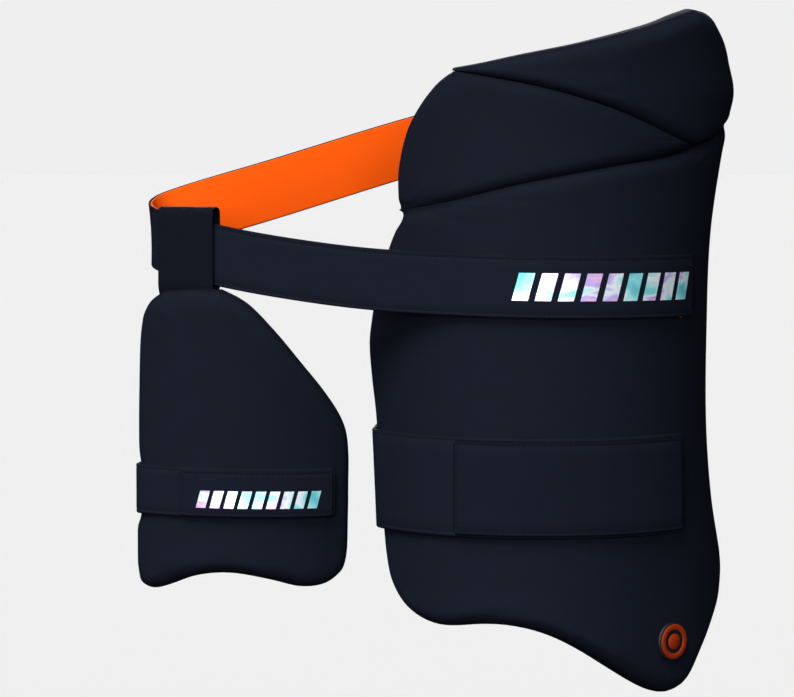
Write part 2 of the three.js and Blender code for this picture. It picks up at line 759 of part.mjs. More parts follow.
const group = new THREE.Group();
function add(name, geometry, color, roughness) {
  const material = new THREE.MeshStandardMaterial({ color, roughness, metalness: 0 });
  const mesh = new THREE.Mesh(geometry, material);
  mesh.name = name;
  group.add(mesh);
}
add("guard_body", guardBody, NAVY, 0.85);
add("upper_panel", upperPanel, NAVY, 0.85);
add("hip_flap", hipFlap, NAVY, 0.85);
add("joining_cloth", joiningCloth(20, 5), DARK_NAVY, 0.9);
add("inner_pad", innerPad, NAVY, 0.85);
add("waist_strap", waistStrap, NAVY, 0.8);
add("waist_strap_lining", waistLining, ORANGE, 0.75);
add("strap_keeper", keeperGeometry(), DARK_NAVY, 0.8);
add("thigh_strap", thighStrap, NAVY, 0.8);
add("thigh_strap_tab", thighTab, DARK_NAVY, 0.85);
add("inner_strap", innerStrap, NAVY, 0.8);
add("inner_strap_tab", innerTab, DARK_NAVY, 0.85);
add("badge", onGuard(badgeDisc(), BADGE.standoff), DARK_NAVY, 0.6);
add("badge_ring", onGuard(badgeRing(), reliefLift), ORANGE, 0.5);
add("badge_dot", onGuard(badgeDot(), reliefLift), ORANGE, 0.5);

export default group;
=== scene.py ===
import math

import bpy
import numpy as np
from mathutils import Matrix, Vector


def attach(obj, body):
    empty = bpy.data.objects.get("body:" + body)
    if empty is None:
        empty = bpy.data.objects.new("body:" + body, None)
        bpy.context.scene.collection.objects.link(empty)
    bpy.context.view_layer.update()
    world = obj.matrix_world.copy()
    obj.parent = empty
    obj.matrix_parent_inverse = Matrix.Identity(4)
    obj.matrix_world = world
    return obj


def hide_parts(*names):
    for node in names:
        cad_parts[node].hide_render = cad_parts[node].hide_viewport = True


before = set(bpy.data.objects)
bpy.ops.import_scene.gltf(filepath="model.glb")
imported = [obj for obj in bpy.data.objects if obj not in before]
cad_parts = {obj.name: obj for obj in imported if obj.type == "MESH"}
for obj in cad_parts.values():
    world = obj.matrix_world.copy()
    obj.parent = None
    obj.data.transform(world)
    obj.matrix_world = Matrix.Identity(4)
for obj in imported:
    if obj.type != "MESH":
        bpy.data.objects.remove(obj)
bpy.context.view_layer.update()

# The setting is a plain studio: a pale floor well below the hanging set, a broad soft light from the
# front, a second from above on the left, one behind so that the backs can be seen, and a long lens at hip
# height.
FLOOR_LEVEL = -0.75
FLOOR_HALF = 40.0
FLOOR_PALE = (0.453, 0.453, 0.453, 1.0)
BACKDROP_PALE = (0.863, 0.863, 0.863, 1.0)
ROOM_LIGHT = 0.05
LENS_AT = Vector((-0.029, -2.4, 0.088))
LENS_AIM = Vector((-0.029, 0.0, -0.073))
LENS_MM = 167.8
LENS_SENSOR_MM = 36.0
LENS_REACH = 200.0
STUDIO_LIGHTS = (
    # name, turn from the front, height above level, spread (degrees), strength
    ("front_light", -4, 4, 44, 3.5),
    ("top_light", -34, 54, 36, 4.7),
    ("back_light", 180, 28, 16, 3.5),
)

scene = bpy.context.scene
scene.view_settings.view_transform = "Standard"

floor_mesh = bpy.data.meshes.new("floor")
floor_corners = [(-1, -1), (1, -1), (1, 1), (-1, 1)]
floor_mesh.from_pydata(
    [(x * FLOOR_HALF, y * FLOOR_HALF, FLOOR_LEVEL) for x, y in floor_corners], [], [(0, 1, 2, 3)])
floor = bpy.data.objects.new("floor", floor_mesh)
scene.collection.objects.link(floor)
floor.visible_diffuse = False
floor.visible_glossy = False
floor_paint = bpy.data.materials.new("floor_paint")
floor_paint.use_nodes = True
floor_shader = floor_paint.node_tree.nodes["Principled BSDF"]
floor_shader.inputs["Base Color"].default_value = FLOOR_PALE
floor_shader.inputs["Roughness"].default_value = 1.0
floor_shader.inputs["Specular IOR Level"].default_value = 0.0
floor_mesh.materials.append(floor_paint)

for light_name, turn, height, spread, strength in STUDIO_LIGHTS:
    lamp = bpy.data.lights.new(light_name, "SUN")
    lamp.energy = strength
    lamp.angle = math.radians(spread)
    turn_angle, height_angle = math.radians(turn), math.radians(height)
    towards = Vector((
        math.sin(turn_angle) * math.cos(height_angle),
        -math.cos(turn_angle) * math.cos(height_angle),
        math.sin(height_angle)))
    light = bpy.data.objects.new(light_name, lamp)
    light.rotation_euler = towards.to_track_quat("Z", "Y").to_euler()
    scene.collection.objects.link(light)

room = bpy.data.worlds.new("room")
scene.world = room
room.use_nodes = True
room_nodes = room.node_tree.nodes
room_links = room.node_tree.links
room_glow = room_nodes["Background"]
room_glow.inputs["Color"].default_value = (1.0, 1.0, 1.0, 1.0)
room_glow.inputs["Strength"].default_value = ROOM_LIGHT
backdrop = room_nodes.new("ShaderNodeBackground")
backdrop.inputs["Color"].default_value = BACKDROP_PALE
seen_by = room_nodes.new("ShaderNodeLightPath")
room_mix = room_nodes.new("ShaderNodeMixShader")
room_links.new(seen_by.outputs["Is Camera Ray"], room_mix.inputs["Fac"])
room_links.new(room_glow.outputs["Background"], room_mix.inputs[1])
room_links.new(backdrop.outputs["Background"], room_mix.inputs[2])
room_links.new(room_mix.outputs["Shader"], room_nodes["World Output"].inputs["Surface"])

lens = bpy.data.cameras.new("lens")
lens.lens = LENS_MM
lens.sensor_width = LENS_SENSOR_MM
lens.clip_end = LENS_REACH
camera = bpy.data.objects.new("camera", lens)
camera.location = LENS_AT
camera.rotation_euler = (LENS_AIM - LENS_AT).to_track_quat("-Z", "Y").to_euler()
scene.collection.objects.link(camera)
scene.camera = camera

# Guard body: the large outer-thigh pad. Moulded foam in tight navy jersey, bent round the leg, with a
# blunt rounded rim and a soft groove along its top where it joins the panel above.
MM = 0.001
GUARD_AXIS = (63.0, 0.0)
GUARD_FOAM = 12.0
GUARD_BACKING = 3.0
FRONT_RADIUS = 109.0
LEFT_RADIUS = 113.0
SIDE_TURN = (30, 96)
LEFT_TURN = (35, 90)
SEAM_GAP = 0.3
BLUNT_RIM = {"rim": ((0, 2.2),), "width": 9.5, "bulge": 0.2}
GROOVE_LOW_RIM = {"rim": ((-60, 11.0), (-30, 10.2), (40, 9.0)), "width": 9.0, "bulge": 0.12}
UNDER_RIM = 0.4
UNDER_RIM_SHARE = 0.7
BACK_RIM = 1.4
BACK_ROUND = 5.0
RIM_MARKS = 121
RIM_BLEND = 0.05
EDGE_STEPS = 400
SWELL = 0.6
SWELL_FROM = 26.0
SWELL_PRESSURE = 250.0
SWELL_MASS = 0.02
SWELL_FRAMES = 20
STILL = 1e-9
SIDE_FLARE = (
    # height, radius of the outer face at the wearer's side
    (-290, 122), (-217, 120.6), (-170, 113.4), (-120, 109.4), (-60, 109.4),
    (0, 111.4), (50, 118.1), (66, 121.6), (78, 124.2), (93, 126.8), (112, 124.4), (150, 124),
)
GROOVE = (
    # degrees round the leg, height
    (-66, 15.5), (-60, 17.8), (-44, 21.7), (-31, 26.1), (-9, 35.9), (8, 42.1),
    (28.5, 48.3), (45.5, 52.2), (61, 58.2), (71, 62.8), (81, 68.6), (100, 79),
)
# Each mark of an edge is degrees round the leg and height. An edge along a seam is its two end degrees.
BODY_LEFT = (
    (-71.6, -160), (-75.6, -115), (-80, -92), (-83.5, -68), (-80, -50), (-73, -26), (-65.3, -4),
    (-60.8, 7.5), (-57.9, 12.5),
)
BODY_FOOT = (
    (-68, -198), (-64.5, -217), (-57.2, -232), (-47.5, -240.8), (-37, -243), (-19, -239.7), (-4, -242.9),
    (9, -252.2), (24.5, -268.4), (36, -279.8), (45, -286.4), (52.5, -287.6), (59.3, -280.6),
    (65.6, -266.5), (73.5, -250), (82.3, -232.5), (91.5, -206),
)
BODY_RIGHT = ((95, -150), (97, -60), (96, 20))
BODY_HEAD = (-57.3, 94)
NAVY = (0.0053, 0.0070, 0.0135)
JERSEY_PITCH = 0.0008


def smooth_curve(rows):
    """A smooth value through the rows of a table, by its first column."""
    x, y = np.array(sorted(rows), float).T
    slope = np.empty_like(y)
    slope[1:-1] = (y[2:] - y[:-2]) / (x[2:] - x[:-2])
    slope[0] = (y[1] - y[0]) / (x[1] - x[0])
    slope[-1] = (y[-1] - y[-2]) / (x[-1] - x[-2])

    def value(at):
        at = np.clip(np.asarray(at, float), x[0], x[-1])
        k = np.clip(np.searchsorted(x, at, side="left") - 1, 0, len(x) - 2)
        step = x[k + 1] - x[k]
        t = (at - x[k]) / step
        rise = y[k + 1] - y[k]
        leaving = slope[k] * step - rise
        arriving = rise - slope[k + 1] * step
        return y[k] + t * rise + t * (1 - t) * ((1 - t) * leaving + t * arriving)

    return value


def ease(value, start, full):
    t = np.clip((np.asarray(value, float) - start) / (full - start), 0, 1)
    return t * t * (3 - 2 * t)


side_flare = smooth_curve(SIDE_FLARE)
groove = smooth_curve(GROOVE)


def guard_radius(around, height):
    """Radius of the guard's outer face."""
    at_side = ease(around, *SIDE_TURN)
    at_left = ease(-np.asarray(around, float), *LEFT_TURN)
    front = FRONT_RADIUS + (side_flare(height) - FRONT_RADIUS) * at_side
    return front + (LEFT_RADIUS - FRONT_RADIUS) * at_left


def round_leg(axis, around, radius, height):
    """Points at an angle round a leg's upright axis; zero faces the front."""
    turn = np.radians(around)
    x = axis[0] + radius * np.sin(turn)
    y = axis[1] - radius * np.cos(turn)
    return np.stack(np.broadcast_arrays(x, y, height), axis=-1).astype(float)


def run_along(line):
    """The distance along a line at each of its points."""
    return np.concatenate([[0], np.cumsum(np.linalg.norm(np.diff(line, axis=0), axis=1))])


def read_along(where, run, values):
    """The values at distances along a run, column by column."""
    return np.stack([np.interp(where, run, column) for column in np.transpose(values)], -1)


def unit(vectors):
    return vectors / np.linalg.norm(vectors, axis=-1, keepdims=True)


def drawn_edge(rows):
    """An edge drawn smoothly through its marks, as a function from 0 to 1 along its length."""
    marks = np.array(rows, float)
    padded_marks = np.vstack([marks[:1], marks, marks[-1:]])
    where = np.linspace(0, len(marks) - 1, EDGE_STEPS + 1)
    k = np.minimum(where.astype(int), len(marks) - 2)
    t = (where - k)[:, None]
    before, start, end, after = (padded_marks[k + shift] for shift in range(4))
    leave, arrive = (end - before) / 2, (after - start) / 2
    line = (
        (2 * t**3 - 3 * t**2 + 1) * start + (t**3 - 2 * t**2 + t) * leave
        + (3 * t**2 - 2 * t**3) * end + (t**3 - t**2) * arrive)
    run = run_along(line)

    def edge(share):
        return read_along(np.asarray(share, float) * run[-1], run, line)

    return edge


def seam_edge(seam, start, end, lift):
    """An edge that follows a seam between two angles."""
    def edge(share):
        around = start + (end - start) * np.asarray(share, float)
        return np.stack([around, seam(around) + lift], axis=-1)

    return edge


def four_edges(foot, head, left_marks, right_marks):
    left = drawn_edge([tuple(foot(0)), *left_marks, tuple(head(0))])
    right = drawn_edge([tuple(foot(1)), *right_marks, tuple(head(1))])
    return {"foot": foot, "head": head, "left": left, "right": right}


def towards_ends(count, crowding=0.78):
    """Steps from 0 to 1 that crowd towards both ends, where a pad rounds over."""
    t = np.linspace(0, 1, count + 1)
    return t - crowding * np.sin(2 * np.pi * t) / (2 * np.pi)


def cut_cloth(edges, across, up):
    """The spots of a four-edged piece of cloth: degrees round the leg and height."""
    foot, head = edges["foot"](across), edges["head"](across)
    left, right = edges["left"](up), edges["right"](up)
    u, v = across[None, :, None], up[:, None, None]
    ruled = (1 - v) * foot + v * head + (1 - u) * left[:, None] + u * right[:, None]
    low = (1 - u) * foot[0] + u * foot[-1]
    high = (1 - u) * head[0] + u * head[-1]
    return ruled - ((1 - v) * low + v * high)


def reach_from(spots, run):
    """How far each spot lies from an edge, both unrolled to millimetres."""
    flat = spots.reshape(-1, 1, 2)
    start, step = run[:-1], np.diff(run, axis=0)
    share = ((flat - start) * step).sum(-1) / (step**2).sum(-1)
    nearest = start + np.clip(share, 0, 1)[..., None] * step
    return np.linalg.norm(flat - nearest, axis=-1).min(1).reshape(spots.shape[:-1])


def blunt(reach, width):
    short = np.clip(1 - reach / width, 0, 1)
    return np.sqrt(1 - short * short)


def rolled(reach, width):
    return 1 - np.clip(1 - reach / width, 0, 1) ** 2


def rim_of(grid):
    """The outermost points of a grid, once round it."""
    return np.concatenate([grid[0, :-1], grid[:-1, -1], grid[-1, :0:-1], grid[:0:-1, 0]])


def link_mesh(name, points, faces, flat=None, smooth=True):
    """A mesh object from points in millimetres, with its cloth laid flat as a map in metres."""
    mesh = bpy.data.meshes.new(name)
    mesh.from_pydata((np.asarray(points, float) * MM).tolist(), [], faces)
    if flat is not None:
        corners = np.empty(len(mesh.loops), np.int32)
        mesh.loops.foreach_get("vertex_index", corners)
        laid_flat = mesh.uv_layers.new(name="cloth")
        laid_flat.data.foreach_set("uv", (np.asarray(flat, float)[corners] * MM).ravel())
    mesh.polygons.foreach_set("use_smooth", [smooth] * len(mesh.polygons))
    piece = bpy.data.objects.new(name, mesh)
    scene.collection.objects.link(piece)
    return piece


def mark_edge(piece, reach):
    """Keeps each point's distance from the cloth's edge, which shades its material."""
    edge_mark = piece.data.attributes.new("from_edge", "FLOAT", "POINT")
    edge_mark.data.foreach_set("value", reach)


def closed_faces(rows, columns, rings=0):
    """Faces of a closed cover: outer grid, inner grid, and bands round the rim through any rings."""
    count = rows * columns
    grid = np.arange(count).reshape(rows, columns)
    a, b, c, d = grid[:-1, :-1], grid[:-1, 1:], grid[1:, 1:], grid[1:, :-1]
    front = np.stack([a, b, c, d], -1).reshape(-1, 4)
    back = np.stack([a, d, c, b], -1).reshape(-1, 4) + count
    rim = rim_of(grid)
    steps = [rim]
    for k in range(rings):
        steps.append(np.arange(len(rim)) + 2 * count + k * len(rim))
    steps.append(rim + count)
    bands = []
    for near, far in zip(steps[:-1], steps[1:]):
        bands.append(np.stack([np.roll(near, -1), near, far, np.roll(far, -1)], -1))
    return np.concatenate([front, back, *bands])


def closed_cover(name, outer, rings, inner, flat):
    """One closed cover from an outer and an inner grid, joined round the rim through rings."""
    faces = closed_faces(*outer.shape[:2], len(rings)).tolist()
    points = np.concatenate([outer.reshape(-1, 3), inner.reshape(-1, 3), *rings])
    flat_points = flat.reshape(-1, 2)
    flat_rings = [rim_of(flat)] * len(rings)
    return link_mesh(name, points, faces, np.concatenate([flat_points, flat_points, *flat_rings]))


def swell(piece, free):
    """The foam presses its cover out where it is free: a short cloth simulation, capped and applied."""
    held = piece.vertex_groups.new(name="held")
    held.add(np.flatnonzero(~free).tolist(), 1.0, "REPLACE")
    cloth = piece.modifiers.new("swell", "CLOTH")
    cloth.settings.use_pressure = True
    cloth.settings.uniform_pressure_force = SWELL_PRESSURE
    cloth.settings.mass = SWELL_MASS
    cloth.settings.effector_weights.gravity = 0.0
    cloth.settings.vertex_group_mass = "held"
    for frame_number in range(1, SWELL_FRAMES + 1):
        scene.frame_set(frame_number)
    swollen = piece.evaluated_get(bpy.context.evaluated_depsgraph_get()).data
    start, end = np.empty(3 * len(free)), np.empty(3 * len(free))
    piece.data.vertices.foreach_get("co", start)
    swollen.vertices.foreach_get("co", end)
    move = (end - start).reshape(-1, 3) / MM
    reach = np.maximum(np.linalg.norm(move, axis=1, keepdims=True), STILL)
    move = move / reach * SWELL * np.tanh(reach / SWELL)
    piece.modifiers.remove(cloth)
    piece.vertex_groups.remove(held)
    scene.frame_set(1)
    piece.data.vertices.foreach_set("co", start + (move * MM).ravel())
    piece.data.update()


def pad_cover(name, axis, radius_at, foam, backing, edges, rolls, columns, rows):
    """A foam pad in its jersey: thick in the middle, rounded over towards each edge as its roll says."""
    spots = cut_cloth(edges, towards_ends(columns), towards_ends(rows))
    around, height = spots[..., 0], spots[..., 1]
    per_degree = math.radians(float(radius_at(0.0, 0.0)) - foam)
    unrolled = spots * (per_degree, 1)
    along_edge = np.linspace(0, 1, RIM_MARKS)
    face, back, rim, bulge, weight = 1.0, 1.0, 0.0, 0.0, 0.0
    nearest = np.full(around.shape, np.inf)
    for sides, roll, shape in rolls:
        reach = np.min([
            reach_from(unrolled, edges[side](along_edge) * (per_degree, 1)) for side in sides], axis=0)
        face = face * shape(reach, roll["width"])
        back = back * blunt(reach, BACK_ROUND)
        near = 1 / (reach + RIM_BLEND)
        rim = rim + np.interp(around, *np.array(roll["rim"], float).T) * near
        bulge = bulge + roll["bulge"] * near
        weight = weight + near
        nearest = np.minimum(nearest, reach)
    rim, bulge = rim / weight, bulge / weight
    base = radius_at(around, height) - foam
    spare = SWELL * ease(nearest, SWELL, SWELL_FROM)
    outside = base + rim + (foam - spare - rim) * face
    inside = base - BACK_RIM - (backing - BACK_RIM) * back
    outline = rim_of(unrolled)
    along_rim = np.roll(outline, -1, axis=0) - np.roll(outline, 1, axis=0)
    outward = unit(np.stack([along_rim[:, 1], -along_rim[:, 0]], -1))
    rings = []
    for share, radius in (
            (UNDER_RIM_SHARE, rim_of(outside) - UNDER_RIM), (1.0, rim_of((outside + inside) / 2))):
        ring = (outline + outward * share * rim_of(bulge)[:, None]) / (per_degree, 1)
        rings.append(round_leg(axis, ring[:, 0], radius, ring[:, 1]))
    piece = closed_cover(
        name, round_leg(axis, around, outside, height), rings, round_leg(axis, around, inside, height),
        unrolled)
    mark_edge(piece, np.concatenate([nearest.ravel(), nearest.ravel(), np.zeros(2 * len(outline))]))
    free = np.zeros(len(piece.data.vertices), bool)
    free[:nearest.size] = nearest.ravel() > SWELL
    swell(piece, free)
    smoothing = piece.modifiers.new("smooth_cloth", "SUBSURF")
    smoothing.levels = smoothing.render_levels = 1
    piece.data.materials.append(pad_jersey)
    return piece


def plug(material, socket, value):
    """Sets a socket to a value, or links it from another node's output."""
    if isinstance(value, bpy.types.NodeSocket):
        material.node_tree.links.new(value, socket)
    else:
        socket.default_value = value


def new_node(material, kind, **values):
    """A shader node with its options set, and its sockets set or linked by name."""
    node = material.node_tree.nodes.new(kind)
    for key, value in values.items():
        if hasattr(node, key):
            setattr(node, key, value)
        else:
            plug(material, node.inputs[key.replace("_", " ")], value)
    return node


def math_node(material, operation, first, second=0.0):
    node = new_node(material, "ShaderNodeMath", operation=operation)
    plug(material, node.inputs[0], first)
    plug(material, node.inputs[1], second)
    return node.outputs[0]


def blend_node(material, share, first, second):
    """A colour between two, by a share. The mix node has its colours in sockets 6, 7 and 2."""
    node = new_node(material, "ShaderNodeMix", data_type="RGBA")
    for socket, value in ((0, share), (6, first), (7, second)):
        plug(material, node.inputs[socket], value)
    return node.outputs[2]


def noise(material, place, scale, detail, **more):
    node = new_node(material, "ShaderNodeTexNoise", Vector=place, Scale=scale, Detail=detail, **more)
    return node.outputs["Fac"]


def bump(material, height, strength, distance, **more):
    node = new_node(
        material, "ShaderNodeBump", Height=height, Strength=strength, Distance=distance, **more)
    return node.outputs["Normal"]


def cloth_map(material):
    return new_node(material, "ShaderNodeUVMap", uv_map="cloth").outputs["UV"]


def in_pitches(material, laid, pitch):
    """A place on the cloth counted in stitches or threads: as one vector, and as its X and Y."""
    counted = new_node(material, "ShaderNodeVectorMath", operation="SCALE", Vector=laid, Scale=1 / pitch)
    place = counted.outputs[0]
    return place, new_node(material, "ShaderNodeSeparateXYZ", Vector=place).outputs


def ridges(material, place, turn):
    """Rounded ridges side by side, one for each half turn of a sine."""
    wave = math_node(material, "SINE", math_node(material, "MULTIPLY", place, turn))
    return math_node(material, "ABSOLUTE", wave)


def edge_share(material, start, full, least=0.0):
    """A share that grows to 1 with the distance in millimetres from the cloth's edge."""
    edge = new_node(material, "ShaderNodeAttribute", attribute_name="from_edge").outputs["Fac"]
    grown = new_node(
        material, "ShaderNodeMapRange", Value=edge, From_Min=start, From_Max=full, To_Min=least,
        To_Max=1.0)
    return grown.outputs[0]


def shade_of(colour, factor):
    return (*[channel * factor for channel in colour], 1.0)


def shaded(material, share, colour, dark, light):
    """A colour between a darker and a lighter shade of itself."""
    return blend_node(material, share, shade_of(colour, dark), shade_of(colour, light))


def matt_finish(name, colour, roughness, sheen, shine):
    """A new matt material whose sheen and gloss are the same all over."""
    material = bpy.data.materials.new(name)
    material.use_nodes = True
    shader = material.node_tree.nodes["Principled BSDF"]
    shader.inputs["Roughness"].default_value = roughness
    shader.inputs["Specular IOR Level"].default_value = shine
    shader.inputs["Sheen Weight"].default_value = sheen
    shader.inputs["Sheen Roughness"].default_value = 0.5
    shader.inputs["Sheen Tint"].default_value = (*colour, 1.0)
    return material


def finished(material, colour, normal=None):
    """The material with its colour, and the bumps of its face, linked to its shader."""
    shader = material.node_tree.nodes["Principled BSDF"]
    plug(material, shader.inputs["Base Color"], colour)
    if normal is not None:
        plug(material, shader.inputs["Normal"], normal)
    return material


def jersey(name, colour):
    """Tight knitted jersey: fine columns of loops, a little uneven in colour, with painted shade at the
    sewn rim.
    """
    material = matt_finish(name, colour, roughness=0.85, sheen=0.04, shine=0.05)
    laid = cloth_map(material)
    _, stitch = in_pitches(material, laid, JERSEY_PITCH)
    lean = math_node(material, "PINGPONG", stitch["Y"], 0.5)
    loops = ridges(material, math_node(material, "ADD", stitch["X"], lean), math.pi)
    uneven = noise(material, laid, scale=60.0, detail=4.0, Roughness=0.6)
    grain = noise(material, laid, scale=1500.0, detail=2.0)
    mottled = shaded(material, uneven, colour, dark=0.92, light=1.08)
    # Painted shade: near each edge and seam the jersey is darkened, most at the edge, fading out about 3
    # mm in.
    wear_and_painted_shade = edge_share(material, start=0.2, full=3.2, least=0.25)
    colours = blend_node(material, wear_and_painted_shade, shade_of(colour, 0.5), mottled)
    knit = bump(material, math_node(material, "ADD", loops, grain), strength=0.35, distance=0.0002)
    slack = bump(material, uneven, strength=0.25, distance=0.0006, Normal=knit)
    return finished(material, colours, slack)


pad_jersey = jersey("pad_jersey", NAVY)

body_edges = four_edges(
    drawn_edge(BODY_FOOT), seam_edge(groove, *BODY_HEAD, -SEAM_GAP / 2), BODY_LEFT, BODY_RIGHT)
guard_body = pad_cover(
    "guard_cover", GUARD_AXIS, guard_radius, GUARD_FOAM, GUARD_BACKING, body_edges,
    [(("left", "foot", "right"), BLUNT_RIM, blunt), (("head",), GROOVE_LOW_RIM, rolled)],
    columns=64, rows=76)
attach(guard_body, "root")
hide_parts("guard_body")

# Upper panel: the wedge of padded foam above the body, which it meets along the soft groove. A sharp
# crease parts it from the hip flap. The same jersey covers it.
CREASE = (
    # degrees round the leg, height
    (-40, 108), (-19, 102.5), (1, 95.2), (22.5, 83.7), (36, 74.7), (47.5, 66.4), (60, 58.9), (75, 50),
)
PANEL_LEFT = (
    (-59.6, 28), (-59.8, 42), (-57.7, 58), (-54, 73), (-48, 87), (-42, 97.5), (-37, 103.5),
)
PANEL_FOOT = (-58.6, 61)
PANEL_HEAD = (-33.5, 61)
GROOVE_TOP_RIM = {
    "rim": ((-60, 9.6), (-40, 8.6), (0, 8.6), (25, 7.4), (50, 5.6)), "width": 7.5, "bulge": 0.12}
CREASE_TOP_RIM = {"rim": ((0, 8.5),), "width": 2.6, "bulge": 0.1}

crease = smooth_curve(CREASE)
panel_edges = four_edges(
    seam_edge(groove, *PANEL_FOOT, SEAM_GAP / 2), seam_edge(crease, *PANEL_HEAD, -SEAM_GAP / 2),
    PANEL_LEFT, [])
upper_panel = pad_cover(
    "panel_cover", GUARD_AXIS, guard_radius, GUARD_FOAM, GUARD_BACKING, panel_edges,
    [(("left",), BLUNT_RIM, blunt), (("foot",), GROOVE_TOP_RIM, rolled),
     (("head", "right"), CREASE_TOP_RIM, blunt)],
    columns=48, rows=36)
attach(upper_panel, "root")
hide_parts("upper_panel")

# Hip flap: the leaf-shaped pad over the hip bone, of the same foam and jersey, flared out at the wearer's
# side. Its lower edge rolls over the crease, above the panel and the body.
FLAP_HEAD = (
    (-34.5, 108.4), (-24, 111.2), (-9, 116.5), (8.5, 122.4), (20.5, 127.2), (32, 131.9), (43, 136.7),
    (52, 141.7), (61, 145.6),
)
FLAP_RIGHT = (
    (95.5, 84), (96.3, 93), (93.5, 105), (86.9, 117), (81.2, 127.5), (75.3, 135.8), (69.5, 143),
)
FLAP_FOOT = (-34.5, 91)
CREASE_FOOT_RIM = {"rim": ((-30, 7.0), (20, 5.5), (70, 4.0)), "width": 6.0, "bulge": 0.1}


def under_flap(around):
    return np.maximum(crease(around), groove(around))


flap_edges = four_edges(
    seam_edge(under_flap, *FLAP_FOOT, SEAM_GAP / 2), drawn_edge(FLAP_HEAD), [], FLAP_RIGHT)
hip_flap = pad_cover(
    "flap_cover", GUARD_AXIS, guard_radius, GUARD_FOAM, GUARD_BACKING, flap_edges,
    [(("head", "left", "right"), BLUNT_RIM, blunt), (("foot",), CREASE_FOOT_RIM, blunt)],
    columns=56, rows=34)
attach(hip_flap, "root")
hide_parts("hip_flap")

# Joining cloth: one piece of plain dark cloth behind the panel that joins the three pads. A row of
# stitches holds it on its lap over the body and another on its lap over the flap. It is what shows at the
# bottom of the seams.
JOIN_LEFT = ((-57, 25), (-57, 45), (-53, 67), (-44, 88), (-36, 99))
JOIN_FOOT = (-56, 92)
JOIN_HEAD = (-26, 92)
JOIN_LAP_BODY = 9.0
JOIN_LAP_FLAP = 5.0
JOIN_DEPTHS = (0.8, 1.8)
JOIN_GRID = (61, 25)
JOIN_STITCH_INSET = 2.5
JOIN_STITCH_ENDS = (3, 2)
JOIN_STITCH_MARKS = 161
DARK_NAVY = (0.0039, 0.0047, 0.0078)
THREAD_NAVY = (0.0017, 0.0022, 0.0038)
CLOTH_PITCH = 0.0009
STITCH_PITCH = 3.2
STITCH_LENGTH = 2.5
STITCH_THICK = 0.45
STITCH_FLATNESS = 0.7
STITCH_SIDES = 6
STITCH_SINK = 0.1
STITCH_LOOK = 0.5
STITCH_SHAPE = (
    # share along the stitch, girth, lift in millimetres
    (-0.5, 0.35, -0.28), (-0.34, 0.9, 0.02), (0.0, 1.0, 0.1), (0.34, 0.9, 0.02), (0.5, 0.35, -0.28),
)


def plain_weave(name, colour, pitch):
    """Plain woven cloth: threads over and under one another, with painted shade where they dip."""
    material = matt_finish(name, colour, roughness=0.85, sheen=0.04, shine=0.05)
    laid = cloth_map(material)
    place, count = in_pitches(material, laid, pitch)
    over = new_node(material, "ShaderNodeTexChecker", Vector=place, Scale=1.0).outputs["Fac"]
    under = math_node(material, "SUBTRACT", 1.0, over)
    warp = math_node(material, "MULTIPLY", ridges(material, count["X"], math.pi), over)
    weft = math_node(material, "MULTIPLY", ridges(material, count["Y"], math.pi), under)
    height = math_node(material, "ADD", warp, weft)
    uneven = math_node(material, "MULTIPLY", noise(material, laid, scale=90.0, detail=3.0), 0.3)
    # Painted shade: the colour darkens in the dips between threads, mixed with random unevenness.
    dip_shade_and_mottle = math_node(material, "ADD", math_node(material, "MULTIPLY", height, 0.6), uneven)
    colours = shaded(material, dip_shade_and_mottle, colour, dark=0.8, light=1.15)
    return finished(material, colours, bump(material, height, strength=0.5, distance=0.0002))


def sew(name, rows):
    """Rows of stitches, each a line and its facing: short threads that dip into the cloth at each end."""
    points, faces = [], []
    ring = np.arange(STITCH_SIDES)
    ring_ahead = np.roll(ring, -1)
    ring_turns = ring * 2 * np.pi / STITCH_SIDES
    band = np.stack([ring, ring_ahead, ring_ahead + STITCH_SIDES, ring + STITCH_SIDES], -1)
    last = (len(STITCH_SHAPE) - 1) * STITCH_SIDES
    for line, facing in rows:
        run = run_along(line)
        count = max(int(run[-1] // STITCH_PITCH), 1)
        mids = (np.arange(count) + 0.5) * run[-1] / count
        middle = read_along(mids, run, line)
        ahead = unit(
            read_along(mids + STITCH_LOOK, run, line) - read_along(mids - STITCH_LOOK, run, line))
        normal = unit(read_along(mids, run, facing))
        side = unit(np.cross(normal, ahead))
        for k in range(count):
            first = len(points) * STITCH_SIDES
            spread = (
                np.outer(np.cos(ring_turns), side[k])
                + STITCH_FLATNESS * np.outer(np.sin(ring_turns), normal[k]))
            for share, girth, lift in STITCH_SHAPE:
                centre = middle[k] + ahead[k] * share * STITCH_LENGTH + normal[k] * lift
                points.append(centre + spread * girth * STITCH_THICK / 2)
            for low in range(first, first + last, STITCH_SIDES):
                faces.extend((band + low).tolist())
            faces.append((first + ring[::-1]).tolist())
            faces.append((first + last + ring).tolist())
    return link_mesh(name, np.concatenate(points), faces)


def thread(name, colour):
    """Twisted sewing thread with a little shine."""
    material = matt_finish(name, colour, roughness=0.7, sheen=0.0, shine=0.06)
    place = new_node(material, "ShaderNodeTexCoord").outputs["Object"]
    twist = new_node(
        material, "ShaderNodeTexWave", Vector=place, Scale=900.0, Distortion=0.5,
        bands_direction="DIAGONAL")
    return finished(material, shaded(material, twist.outputs["Fac"], colour, dark=0.8, light=1.2))


